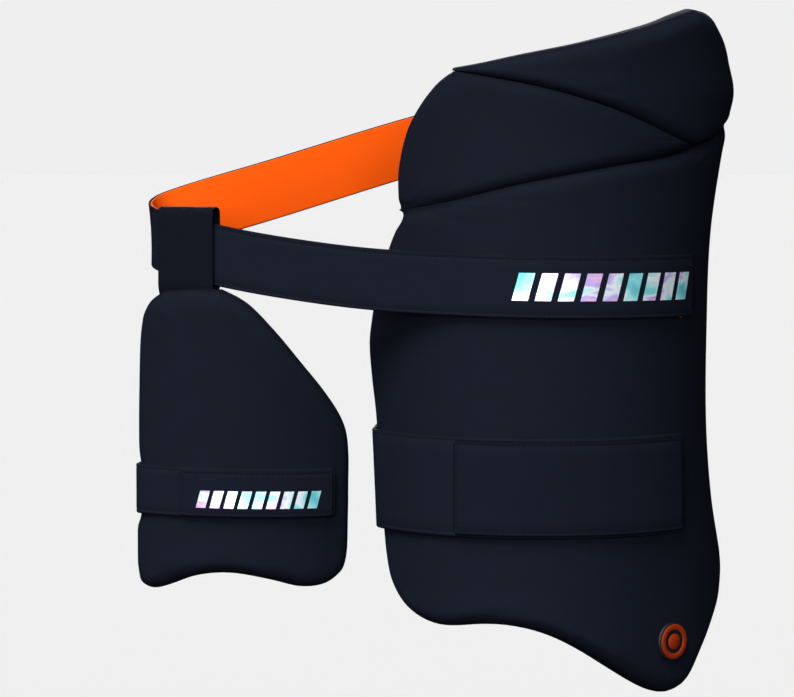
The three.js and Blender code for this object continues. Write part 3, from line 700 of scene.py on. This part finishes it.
join_edges = four_edges(
    seam_edge(groove, *JOIN_FOOT, -JOIN_LAP_BODY), seam_edge(under_flap, *JOIN_HEAD, JOIN_LAP_FLAP),
    JOIN_LEFT, [])
join_spots = cut_cloth(join_edges, *[np.linspace(0, 1, count) for count in JOIN_GRID])
join_back = guard_radius(join_spots[..., 0], join_spots[..., 1]) - GUARD_FOAM - GUARD_BACKING
join_layers = [
    round_leg(GUARD_AXIS, join_spots[..., 0], join_back - depth, join_spots[..., 1])
    for depth in JOIN_DEPTHS]
join_flat = join_spots * (math.radians(FRONT_RADIUS - GUARD_FOAM - GUARD_BACKING), 1)
joining_cloth = closed_cover(
    "joining_cloth_cut", join_layers[0], [rim_of((join_layers[0] + join_layers[1]) / 2)], join_layers[1],
    join_flat)
joining_cloth.data.materials.append(plain_weave("joining_weave", DARK_NAVY, CLOTH_PITCH))
join_rows = []
for seam, (start, end), lift in (
        (groove, JOIN_FOOT, JOIN_STITCH_INSET - JOIN_LAP_BODY),
        (under_flap, JOIN_HEAD, JOIN_LAP_FLAP - JOIN_STITCH_INSET)):
    sewn_edge = seam_edge(seam, start + JOIN_STITCH_ENDS[0], end - JOIN_STITCH_ENDS[1], lift)
    sewn_turn, sewn_level = sewn_edge(np.linspace(0, 1, JOIN_STITCH_MARKS)).T
    sewn_back = guard_radius(sewn_turn, sewn_level) - GUARD_FOAM - GUARD_BACKING
    sewn_radius = sewn_back - JOIN_DEPTHS[1] + STITCH_SINK
    sewn_line = round_leg(GUARD_AXIS, sewn_turn, sewn_radius, sewn_level)
    inward = round_leg(GUARD_AXIS, sewn_turn, sewn_radius - 1, sewn_level) - sewn_line
    join_rows.append((sewn_line, inward))
navy_thread = thread("navy_thread", THREAD_NAVY)
join_stitches = sew("joining_stitches", join_rows)
join_stitches.data.materials.append(navy_thread)
for piece in (joining_cloth, join_stitches):
    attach(piece, "root")
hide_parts("joining_cloth")

# Inner pad: the smaller pad for the inner thigh, thinner foam in the same jersey, with a slanted edge
# that clears the other leg. It hangs from the waist strap by its keeper.
PAD_AXIS = (-126.0, 63.5)
PAD_RADIUS = 114.0
PAD_FOAM = 9.0
PAD_BACKING = 2.5
PAD_RIM = {"rim": ((0, 1.8),), "width": 9.0, "bulge": 0.2}
PAD_LEFT = (
    (-40.7, -196), (-40.4, -183.4), (-38.8, -178.6), (-38.6, -146), (-39.7, -140), (-40, -130),
    (-39.8, -100), (-38.8, -60), (-35.3, -42.5),
)
PAD_FOOT = (
    (-40.6, -211), (-39, -222.6), (-34.2, -226.1), (-27, -222.6), (-17, -216), (-5, -214),
    (9, -218.7), (19, -223.6), (28.5, -222.4), (35, -213.7), (36.8, -200),
)
PAD_RIGHT = (
    (37.3, -160), (37.1, -130), (34, -114), (27, -96), (19.5, -79.5), (10.5, -59.5), (1, -41.5),
)
PAD_HEAD = ((-29, -34), (-18, -32.5), (-8, -32.5))


def pad_radius(around, height):
    """Radius of the pad's outer face, the same at every height."""
    return np.full(np.shape(around), PAD_RADIUS)


pad_edges = four_edges(drawn_edge(PAD_FOOT), drawn_edge(PAD_HEAD), PAD_LEFT, PAD_RIGHT)
inner_pad = pad_cover(
    "inner_pad_cover", PAD_AXIS, pad_radius, PAD_FOAM, PAD_BACKING, pad_edges,
    [(("left", "foot", "right", "head"), PAD_RIM, blunt)], columns=48, rows=52)
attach(inner_pad, "root")
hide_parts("inner_pad")

# Waist strap: two layers of elastic webbing sewn along both edges, navy outside and orange inside. Its
# front end is stitched across and closes on the guard. It folds round at the left and is sewn inside the
# hip flap.
WAIST_WIDTH = 39.0
WAIST_SHELL = (0.15, 1.45)
WAIST_LINING = (-1.25, -0.15)
WAIST_LINING_WIDTH = 38.0
WAIST_CORNER = 4.0
WAIST_STEP = 3.0
WAIST_ROUTE = (
    # x, y, radius of each curve that the strap is pulled round
    (63.0, 0.0, 111.8), (-164.0, 0.0, 23.0), (63.0, 0.0, 104.6),
)
WAIST_ENDS = (57.5, 80)
WAIST_LEVEL = (
    # distance along, height
    (0, -28.7), (151, -26.8), (220, -24.6), (271, -20.1), (327, -12.2), (389, 0.9), (433, 14.6),
    (489, 30), (583, 56.6), (693, 84), (793, 97), (963, 99),
)
WAIST_LEAN = (
    # distance along, outward lean
    (0, 0), (303, 0), (375, 0), (403, 0.07), (433, 0.07), (483, 0), (793, 0), (893, 0.05), (993, 0.05),
)
WAIST_DROOP = {"drop": 1.5, "at": 11.0, "spread": 2.2}
DROOP_EDGE = 6
STITCH_INSET = 2.5
SEWN_END = (3.0, 21.0)
SEWN_SIDE = 4.0
SEWN_STEP = 2.0
SEWN_DIP = 0.12
CURVE_MARKS = 241
BOX_MARKS = 60
END_MARKS = 30
CORNER_STEPS = 6
FACE_STEPS = 8
END_LOOP = 0.02
ORANGE = (0.98, 0.108, 0.0032)
STRAP_NAVY = (0.0054, 0.0071, 0.0138)
RIB_PITCH = 0.0010
ROUNDED_EDGE = (
    # share of the thickness in from the edge, and down from the face
    (0.0, 0.5), (0.12, 0.22), (0.38, 0.05), (0.7, 0.0),
)
STITCHED_DIP = (
    # millimetres in from the edge, and down from the face
    (1.9, 0.0), (2.3, 0.16), (2.7, 0.16), (3.1, 0.0),
)


def pulled_round(curves, start, end):
    """The plan of a strap pulled clockwise round upright curves, as closely set points."""
    points = []
    enter = math.radians(start - 90)
    for k, (x, y, radius) in enumerate(curves):
        leave = math.radians(end - 90)
        if k + 1 < len(curves):
            dx, dy = curves[k + 1][0] - x, curves[k + 1][1] - y
            share = (radius - curves[k + 1][2]) / math.hypot(dx, dy)
            leave = math.atan2(dy, dx) + math.acos(min(max(share, -1), 1))
        sweep = (leave - enter) % (2 * math.pi) - 2 * math.pi
        turns = enter + sweep * np.linspace(0, 1, CURVE_MARKS)
        points.append(np.stack([x + radius * np.cos(turns), y + radius * np.sin(turns)], -1))
        enter = leave
    return np.concatenate(points)


def evenly(line, step):
    """Points about a set step apart along a line, with the distance along it at each."""
    run = run_along(line)
    along = np.linspace(0, run[-1], int(round(run[-1] / step)) + 1)
    return read_along(along, run, line), along


def stations_of(places, lean):
    """Where a strap runs: its middle, its upward edge and its outward face at each place."""
    run = unit(np.gradient(places, axis=0))
    outward = unit(np.stack([-run[:, 1], run[:, 0], 0 * run[:, 0]], -1))
    up = np.array([0.0, 0.0, 1.0]) + outward * np.asarray(lean)[:, None]
    up = unit(up - run * (up * run).sum(-1, keepdims=True))
    return {"along": run_along(places), "at": places, "up": up, "out": unit(np.cross(up, run))}


def on_strap(stations, along, across, lift):
    """Points on a strap, by distance along it, across it and out of it, with the way each faces."""
    at, up, out = (read_along(along, stations["along"], stations[key]) for key in ("at", "up", "out"))
    facing = unit(out)
    across, lift = (np.asarray(value, float)[..., None] for value in (across, lift))
    return at + unit(up) * across + facing * lift, facing


def stitched_box(stations, start, end, half, lift, way):
    """Rows of stitches once round a box on a strap. The way is 1 on its outer face, -1 on its inner."""
    corners = np.array([(start, -half), (end, -half), (end, half), (start, half), (start, -half)])
    rows = []
    for near, far in zip(corners[:-1], corners[1:]):
        spots = near + (far - near) * np.linspace(0, 1, BOX_MARKS)[:, None]
        line, facing = on_strap(stations, *spots.T, lift)
        rows.append((line, way * facing))
    return rows


def sewn_end(stations, width, inside):
    """Rows of stitches once round the hidden end of a strap, on its inner face."""
    near, far = stations["along"][-1] - np.array(SEWN_END)
    return stitched_box(stations, near, far, width / 2 - SEWN_SIDE, inside + STITCH_SINK, -1)


def webbing(name, stations, width, layer, corner, droop=None):
    """A woven strap with rounded edges and rounded end corners, dipped where it is stitched."""
    inside, outside = layer
    thick = outside - inside
    length = stations["along"][-1]
    ends = np.linspace(0, 1, CORNER_STEPS + 1)[1:] * corner
    loops = [END_LOOP, length - END_LOOP]
    along = np.unique(np.concatenate([stations["along"], ends, length - ends, loops]))
    along = along[(along > 0) & (along < length)]
    short = np.clip(corner - np.minimum(along, length - along), 0, corner)
    half = width / 2 - corner + np.sqrt(corner**2 - short**2)
    rounding = [(share * thick, dip * thick) for share, dip in ROUNDED_EDGE]
    shoulder = rounding + list(STITCHED_DIP)
    inset = shoulder[-1][0]
    section = []
    for from_edge, dip in shoulder:
        section.append((-half + from_edge, outside - dip))
    for share in np.linspace(-1, 1, FACE_STEPS + 1)[1:-1]:
        section.append((share * (half - inset), outside))
    for from_edge, dip in reversed(shoulder):
        section.append((half - from_edge, outside - dip))
    for from_edge, dip in rounding[1:]:
        section.append((half - from_edge, inside + dip))
    for from_edge, dip in reversed(rounding[1:]):
        section.append((-half + from_edge, inside + dip))
    across = np.stack([np.broadcast_to(a, along.shape) for a, _ in section], -1)
    lift = np.stack([np.broadcast_to(b, along.shape) for _, b in section], -1)
    if droop:
        sag = droop["drop"] * np.exp(-((along - droop["at"]) / droop["spread"]) ** 2)
        across = across - sag[:, None] * np.clip(-across / half[:, None], 0, 1) ** DROOP_EDGE
    count = across.shape[1]
    points, _ = on_strap(stations, np.repeat(along, count), across.ravel(), lift.ravel())
    grid = np.arange(len(points)).reshape(-1, count)
    ahead = np.roll(grid, -1, axis=1)
    faces = np.stack([grid[:-1], grid[1:], ahead[1:], ahead[:-1]], -1).reshape(-1, 4).tolist()
    faces.append(grid[0].tolist())
    faces.append(grid[-1, ::-1].tolist())
    flat = np.stack([np.repeat(along, count), across.ravel()], -1)
    piece = link_mesh(name, points, faces, flat)
    from_end = np.minimum(along, length - along)[:, None]
    mark_edge(piece, np.minimum(np.abs(np.abs(across) - half[:, None]), from_end).ravel())
    return piece


def mean_node(material, first, second):
    return math_node(material, "MULTIPLY", math_node(material, "ADD", first, second), 0.5)


def elastic(name, colour):
    """Woven elastic: ribs along the strap with painted shade between them, fine threads across it, and a
    firmer selvedge.
    """
    material = matt_finish(name, colour, roughness=0.8, sheen=0.04, shine=0.05)
    laid = cloth_map(material)
    _, count = in_pitches(material, laid, RIB_PITCH)
    ribs = ridges(material, count["Y"], math.pi)
    threads = ridges(material, count["X"], 2 * math.pi)
    height = mean_node(material, ribs, threads)
    # Painted shade: the colour darkens between the ribs and threads, mixed with random unevenness.
    dip_shade_and_mottle = mean_node(material, height, noise(material, laid, scale=70.0, detail=3.0))
    woven = shaded(material, dip_shade_and_mottle, colour, dark=0.92, light=1.06)
    selvedge = edge_share(material, start=0.4, full=1.6)
    colours = blend_node(material, selvedge, shade_of(colour, 0.75), woven)
    return finished(material, colours, bump(material, height, strength=0.3, distance=0.0002))


waist_plan, waist_run = evenly(pulled_round(WAIST_ROUTE, *WAIST_ENDS), WAIST_STEP)
waist_places = np.column_stack([waist_plan, smooth_curve(WAIST_LEVEL)(waist_run)])
waist_stations = stations_of(waist_places, smooth_curve(WAIST_LEAN)(waist_run))
waist_strap = webbing("waist_webbing", waist_stations, WAIST_WIDTH, WAIST_SHELL, WAIST_CORNER)
strap_elastic = elastic("strap_elastic", STRAP_NAVY)
waist_strap.data.materials.append(strap_elastic)
waist_lining = webbing(
    "waist_orange_lining", waist_stations, WAIST_LINING_WIDTH, WAIST_LINING, WAIST_CORNER, WAIST_DROOP)
waist_lining.data.materials.append(elastic("orange_elastic", ORANGE))
waist_length = waist_stations["along"][-1]
waist_sewn = np.arange(WAIST_CORNER, waist_length - WAIST_CORNER, SEWN_STEP)
waist_half = WAIST_WIDTH / 2 - STITCH_INSET
waist_rows = [
    on_strap(waist_stations, waist_sewn, edge, WAIST_SHELL[1] - SEWN_DIP)
    for edge in (-waist_half, waist_half)]
waist_rows.append(on_strap(
    waist_stations, np.full(END_MARKS, STITCH_INSET), np.linspace(-waist_half, waist_half, END_MARKS),
    WAIST_SHELL[1]))
waist_rows += sewn_end(waist_stations, WAIST_LINING_WIDTH, WAIST_LINING[0])
waist_stitches = sew("waist_stitches", waist_rows)
waist_stitches.data.materials.append(navy_thread)
for piece in (waist_strap, waist_lining, waist_stitches):
    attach(piece, "root")
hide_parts("waist_strap")
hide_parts("waist_strap_lining")

# Foil bars: a plain row of slanted bars heat-pressed on the strap's front end, in foil that shifts from
# teal to violet along its length.
WAIST_BARS = {"start": 8.0, "end": 135.0, "low": -8.6, "high": 8.6, "slant": 4.4, "count": 9, "fill": 0.7}
FOIL_HALF = 0.14
FOIL_GRID = (6, 9)
FOIL_SHADES = (
    # place in the drift, colour
    (0.28, (0.05, 0.42, 0.55)), (0.40, (0.28, 0.80, 0.86)), (0.48, (0.86, 0.93, 0.98)),
    (0.55, (0.50, 0.42, 0.90)), (0.62, (0.93, 0.52, 0.85)), (0.72, (0.16, 0.66, 0.66)),
)


def foil_bars(name, stations, face, bars):
    """A row of slanted bars, each a thin closed patch that follows its strap."""
    step = (bars["end"] - bars["start"]) / bars["count"]
    points, faces, flat = [], [], []
    u, v = np.meshgrid(*[np.linspace(0, 1, count) for count in FOIL_GRID])
    across = (bars["low"] + (bars["high"] - bars["low"]) * v).ravel()
    for k in range(bars["count"]):
        along = bars["start"] + step * (k + bars["fill"] * (1 - u)) + bars["slant"] * (0.5 - v)
        for lift in (FOIL_HALF, -FOIL_HALF):
            points.append(on_strap(stations, along.ravel(), across, face + lift)[0])
            flat.append(np.stack([along.ravel(), across], -1))
        faces.extend((closed_faces(*along.shape) + 2 * along.size * k).tolist())
    return link_mesh(name, np.concatenate(points), faces, np.concatenate(flat), smooth=False)


def foil(name):
    """Pearly foil: bands of teal, white, violet and pink that run slantwise, over a fine grain."""
    material = bpy.data.materials.new(name)
    material.use_nodes = True
    shader = material.node_tree.nodes["Principled BSDF"]
    shader.inputs["Metallic"].default_value = 0.35
    shader.inputs["Roughness"].default_value = 0.28
    laid = cloth_map(material)
    slanted = new_node(
        material, "ShaderNodeMapping", Vector=laid, Rotation=(0.0, 0.0, 0.9), Scale=(30.0, 48.0, 1.0))
    drift = noise(material, slanted.outputs[0], scale=1.1, detail=3.0, Distortion=0.6)
    bands = new_node(material, "ShaderNodeValToRGB", Fac=drift)
    while len(bands.color_ramp.elements) < len(FOIL_SHADES):
        bands.color_ramp.elements.new(0.5)
    for element, (place, colour) in zip(bands.color_ramp.elements, FOIL_SHADES):
        element.position = place
        element.color = (*colour, 1.0)
    grain = noise(material, laid, scale=2500.0, detail=1.0)
    pressed = bump(material, grain, strength=0.15, distance=0.0001)
    return finished(material, bands.outputs["Color"], pressed)


pearl_foil = foil("pearl_foil")
waist_bars = foil_bars("waist_foil_bars", waist_stations, WAIST_SHELL[1], WAIST_BARS)
waist_bars.data.materials.append(pearl_foil)
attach(waist_bars, "root")

# Keeper: a loop of heavy dark webbing that hangs the inner pad on the waist strap. Its two tails meet
# under the strap and are sewn behind the pad's top.
KEEPER_AT = (-163.5, -27.0)
KEEPER_TURN = -22.5
KEEPER_WIDTH = 39.0
KEEPER_LOOP = (
    # out of the strap's face, height
    (0.8, -52), (0.8, -44), (0.8, -37.5), (2.7, -31), (2.75, -20), (2.75, 0), (2.75, 14.5), (1.7, 18.2),
    (-2.6, 19.25), (-6.9, 18.2), (-7.95, 14.5), (-7.95, 0), (-7.95, -20), (-7.9, -31), (-0.8, -37.5),
    (-0.8, -44), (-0.8, -52),
)
KEEPER_LEAF = (-0.75, 0.75)
KEEPER_STEP = 1.5
KEEPER_CORNER = 0.6
KEEPER_SEWN = (2.5, 11.5)
KEEPER_NAVY = (0.0036, 0.0042, 0.0088)
KEEPER_PITCH = 0.0010

keeper_side, keeper_run = evenly(drawn_edge(KEEPER_LOOP)(np.linspace(0, 1, EDGE_STEPS + 1)), KEEPER_STEP)
keeper_turn = math.radians(KEEPER_TURN)
keeper_out = np.array([math.sin(keeper_turn), -math.cos(keeper_turn), 0.0])
keeper_up = np.array([0.0, 0.0, 1.0])
keeper_wide = np.tile(np.cross(keeper_up, keeper_out), (len(keeper_run), 1))
keeper_places = (
    np.array([*KEEPER_AT, 0.0]) + keeper_side[:, :1] * keeper_out + keeper_side[:, 1:] * keeper_up)
keeper_ahead = unit(np.gradient(keeper_places, axis=0))
keeper_stations = {
    "along": keeper_run, "at": keeper_places, "up": keeper_wide,
    "out": unit(np.cross(keeper_wide, keeper_ahead))}
strap_keeper = webbing("keeper_webbing_loop", keeper_stations, KEEPER_WIDTH, KEEPER_LEAF, KEEPER_CORNER)
strap_keeper.data.materials.append(plain_weave("keeper_weave", KEEPER_NAVY, KEEPER_PITCH))
keeper_stitches = sew("keeper_stitches", stitched_box(
    keeper_stations, keeper_run[-1] - KEEPER_SEWN[0], keeper_run[-1] - KEEPER_SEWN[1],
    KEEPER_WIDTH / 2 - SEWN_SIDE, KEEPER_LEAF[1] - STITCH_SINK, 1))
keeper_stitches.data.materials.append(navy_thread)
for piece in (strap_keeper, keeper_stitches):
    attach(piece, "root")
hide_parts("strap_keeper")

# Thigh strap: wide woven elastic over the guard and round behind the leg, sewn inside the guard's right
# edge. A closing tab of brushed cloth lies on its front end.
THIGH_WIDTH = 63.0
THIGH_LAYER = (-1.0, 1.0)
THIGH_LEVEL = -153.2
THIGH_STANDOFF = 1.8
THIGH_CORNER = 4.0
THIGH_STEP = 1.5
THIGH_FRONT = (53, -60)
THIGH_BEHIND = (
    # degrees round the leg, radius
    (-60, 112.6), (-66, 113.7), (-68, 113.3), (-72, 111), (-80, 105.4), (-90, 102.2), (-130, 99.5),
    (-180, 95.5), (-230, 93.6), (-292, 93.6),
)
THIGH_LEAN = (
    # degrees round the leg, outward lean
    (-292, -0.055), (-262, -0.055), (-180, 0), (-90, 0.085), (-73, 0.05), (-60, 0), (25, 0), (60, -0.035),
)
THIGH_TAB = {"from": 50.7, "to": -30, "width": 59.6, "layer": (1.3, 2.9), "corner": 3.0}
TAB_NAVY = (0.0053, 0.0067, 0.0131)


def thigh_stations(start, end):
    around = np.linspace(start, end, int(abs(start - end) / THIGH_STEP) + 1)
    on_guard = guard_radius(around, THIGH_LEVEL) + THIGH_STANDOFF
    radius = np.where(around > THIGH_FRONT[1], on_guard, smooth_curve(THIGH_BEHIND)(around))
    return stations_of(
        round_leg(GUARD_AXIS, around, radius, THIGH_LEVEL), smooth_curve(THIGH_LEAN)(around))


def tab_finish(name, colour, edge_shade):
    """Brushed closing cloth: short soft pile with a fine speckle, darker towards its edge."""
    material = matt_finish(name, colour, roughness=0.95, sheen=0.12, shine=0.05)
    laid = cloth_map(material)
    pile = noise(material, laid, scale=1100.0, detail=3.0)
    wear_and_painted_shade = noise(material, laid, scale=45.0, detail=3.0)
    brushed = shaded(material, mean_node(material, pile, wear_and_painted_shade), colour, dark=0.8, light=1.2)
    edge_darkening = edge_share(material, start=0.7, full=1.4)
    colours = blend_node(material, edge_darkening, shade_of(colour, edge_shade), brushed)
    return finished(material, colours, bump(material, pile, strength=0.4, distance=0.0003))


def round_tab(stations, tab):
    """Rows of stitches once round a tab, a little in from its edges."""
    return stitched_box(
        stations, STITCH_INSET, stations["along"][-1] - STITCH_INSET, tab["width"] / 2 - STITCH_INSET,
        tab["layer"][1] - STITCH_SINK, 1)


def closing_strap(name, run, width, layer, corner, tab_run, tab, tab_cloth):
    """A strap, its closing tab, and the stitches round the tab and at the strap's hidden end."""
    strap = webbing(name + "_webbing", run, width, layer, corner)
    strap.data.materials.append(strap_elastic)
    closing_tab = webbing(name + "_tab", tab_run, tab["width"], tab["layer"], tab["corner"])
    closing_tab.data.materials.append(tab_cloth)
    stitches = sew(name + "_stitches", round_tab(tab_run, tab) + sewn_end(run, width, layer[0]))
    stitches.data.materials.append(navy_thread)
    return strap, closing_tab, stitches


thigh_strap, thigh_tab, thigh_stitches = closing_strap(
    "thigh", thigh_stations(THIGH_FRONT[0], THIGH_BEHIND[-1][0]), THIGH_WIDTH, THIGH_LAYER, THIGH_CORNER,
    thigh_stations(THIGH_TAB["from"], THIGH_TAB["to"]), THIGH_TAB,
    tab_finish("tab_brushed_cloth", TAB_NAVY, edge_shade=0.45))
for piece in (thigh_strap, thigh_tab, thigh_stitches):
    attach(piece, "root")
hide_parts("thigh_strap")
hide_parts("thigh_strap_tab")

# Inner strap: narrow elastic over the inner pad, round its left rim and behind the leg, sewn inside the
# pad. Its closing tab carries a smaller row of foil bars.
INNER_WIDTH = 32.0
INNER_LAYER = (-0.9, 0.9)
INNER_CORNER = 3.0
INNER_STEP = 2.5
INNER_STANDOFF = 1.5
INNER_FACE = PAD_RADIUS + INNER_STANDOFF
INNER_BACK = PAD_RADIUS - PAD_FOAM - PAD_BACKING - INNER_STANDOFF
INNER_ENDS = (29.7, 4)
# The strap's turns beside the pad are degrees round the leg and radius; behind the leg, x, y and radius.
INNER_WRAP = (-35.2, 8.8)
INNER_TURN = (25, 12.0)
INNER_LEG = (-130.0, 18.0, 60.0)
INNER_LEVEL = (
    # x, height
    (-194.8, -161.3), (-57.0, -163.1),
)
INNER_TAB = {"from": 28.2, "to": -20.8, "width": 30.4, "layer": (1.2, 2.7), "corner": 2.5}
INNER_TAB_NAVY = (0.0056, 0.0071, 0.0138)
INNER_BARS = {"start": 9.5, "end": 89.0, "low": -9.5, "high": 1.5, "slant": 2.9, "count": 9, "fill": 0.7}


def beside_pad(around, size, radius):
    x, y, _ = round_leg(PAD_AXIS, around, radius - size, 0.0)
    return (x, y, size)


def inner_stations(curves, start, end):
    plan, _ = evenly(pulled_round(curves, start, end), INNER_STEP)
    level = np.interp(plan[:, 0], *np.array(INNER_LEVEL).T)
    return stations_of(np.column_stack([plan, level]), np.zeros(len(plan)))


inner_face = (*PAD_AXIS, INNER_FACE)
inner_route = (
    inner_face, beside_pad(*INNER_WRAP, INNER_FACE), INNER_LEG, beside_pad(*INNER_TURN, INNER_BACK),
    (*PAD_AXIS, INNER_BACK))
inner_tab_stations = inner_stations((inner_face,), INNER_TAB["from"], INNER_TAB["to"])
inner_strap, inner_tab, inner_stitches = closing_strap(
    "inner", inner_stations(inner_route, *INNER_ENDS), INNER_WIDTH, INNER_LAYER, INNER_CORNER,
    inner_tab_stations, INNER_TAB, tab_finish("inner_tab_cloth", INNER_TAB_NAVY, edge_shade=0.85))
inner_bars = foil_bars("inner_foil_bars", inner_tab_stations, INNER_TAB["layer"][1], INNER_BARS)
inner_bars.data.materials.append(pearl_foil)
for piece in (inner_strap, inner_tab, inner_stitches, inner_bars):
    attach(piece, "root")
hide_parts("inner_strap")
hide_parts("inner_strap_tab")

# Badge: a small moulded rubber disc glued low on the guard, with a plain raised ring and dot in orange.
# The ring and the dot are separate mouldings pressed onto the disc.
BADGE_AT = (47, -253.5)
BADGE_LIFT = 0.4
BADGE_RELIEF_LIFT = 2.7
# Each row of a moulding's profile is radius and rise.
BADGE_DISC = (
    (0, 0), (11.9, 0), (12.3, 0.3), (12.3, 1.2), (12.0, 1.75), (11.4, 2.0), (10.6, 1.85), (0, 1.85),
)
BADGE_RING = ((7.5, 0), (11.1, 0), (11.1, 0.5), (10.8, 0.8), (7.8, 0.8), (7.5, 0.5))
BADGE_DOT = ((0, 0), (5.0, 0), (5.0, 0.45), (4.6, 0.8), (0, 0.95))
BADGE_SIDES = 96
BADGE_CORE = 0.05
BADGE_DARK = (0.005, 0.0055, 0.0078)
BADGE_ORANGE = (0.21, 0.021, 0.0024)


def moulded(name, profile, lift, closed):
    """A turned moulding that lies on the guard's face at the badge."""
    around, height = BADGE_AT

    def face(turn, level):
        return round_leg(GUARD_AXIS, turn, guard_radius(turn, level), level)

    across = unit(face(around + 1.0, height) - face(around - 1.0, height))
    out = unit(np.cross(across, face(around, height + 1.0) - face(around, height - 1.0)))
    up = np.cross(out, across)
    turns = np.arange(BADGE_SIDES) * 2 * np.pi / BADGE_SIDES
    spread = np.outer(np.cos(turns), across) + np.outer(np.sin(turns), up)
    rings = [
        face(around, height) + spread * max(radius, BADGE_CORE) + out * (lift + rise)
        for radius, rise in profile]
    grid = np.arange(len(rings) * BADGE_SIDES).reshape(len(rings), BADGE_SIDES)
    ahead = np.roll(grid, -1, axis=1)
    faces = []
    for k in range(len(rings) if closed else len(rings) - 1):
        after = (k + 1) % len(rings)
        faces.extend(np.stack([grid[k], ahead[k], ahead[after], grid[after]], -1).tolist())
    if not closed:
        faces.append(grid[0, ::-1].tolist())
        faces.append(grid[-1].tolist())
    return link_mesh(name, np.concatenate(rings), faces)


def rubber(name, colour, roughness, shine):
    """Moulded rubber with a fine satin grain."""
    material = matt_finish(name, colour, roughness, sheen=0.0, shine=shine)
    place = new_node(material, "ShaderNodeTexCoord").outputs["Object"]
    grain = noise(material, place, scale=1800.0, detail=2.0)
    colours = shaded(material, grain, colour, dark=0.88, light=1.1)
    return finished(material, colours, bump(material, grain, strength=0.2, distance=0.0002))


badge_rubber = rubber("badge_rubber", BADGE_DARK, roughness=0.5, shine=0.3)
badge_orange = rubber("badge_orange", BADGE_ORANGE, roughness=0.5, shine=0.12)
for name, node, slot_name, profile, lift, closed, finish in (
        ("badge_disc", "badge", "badge_rubber", BADGE_DISC, BADGE_LIFT, False, badge_rubber),
        ("badge_raised_ring", "badge_ring", "badge_orange", BADGE_RING, BADGE_RELIEF_LIFT, True,
         badge_orange),
        ("badge_raised_dot", "badge_dot", "badge_orange", BADGE_DOT, BADGE_RELIEF_LIFT, False,
         badge_orange)):
    moulding = moulded(name, profile, lift, closed)
    moulding.data.materials.append(finish)
    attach(moulding, "root")
    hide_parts(node)
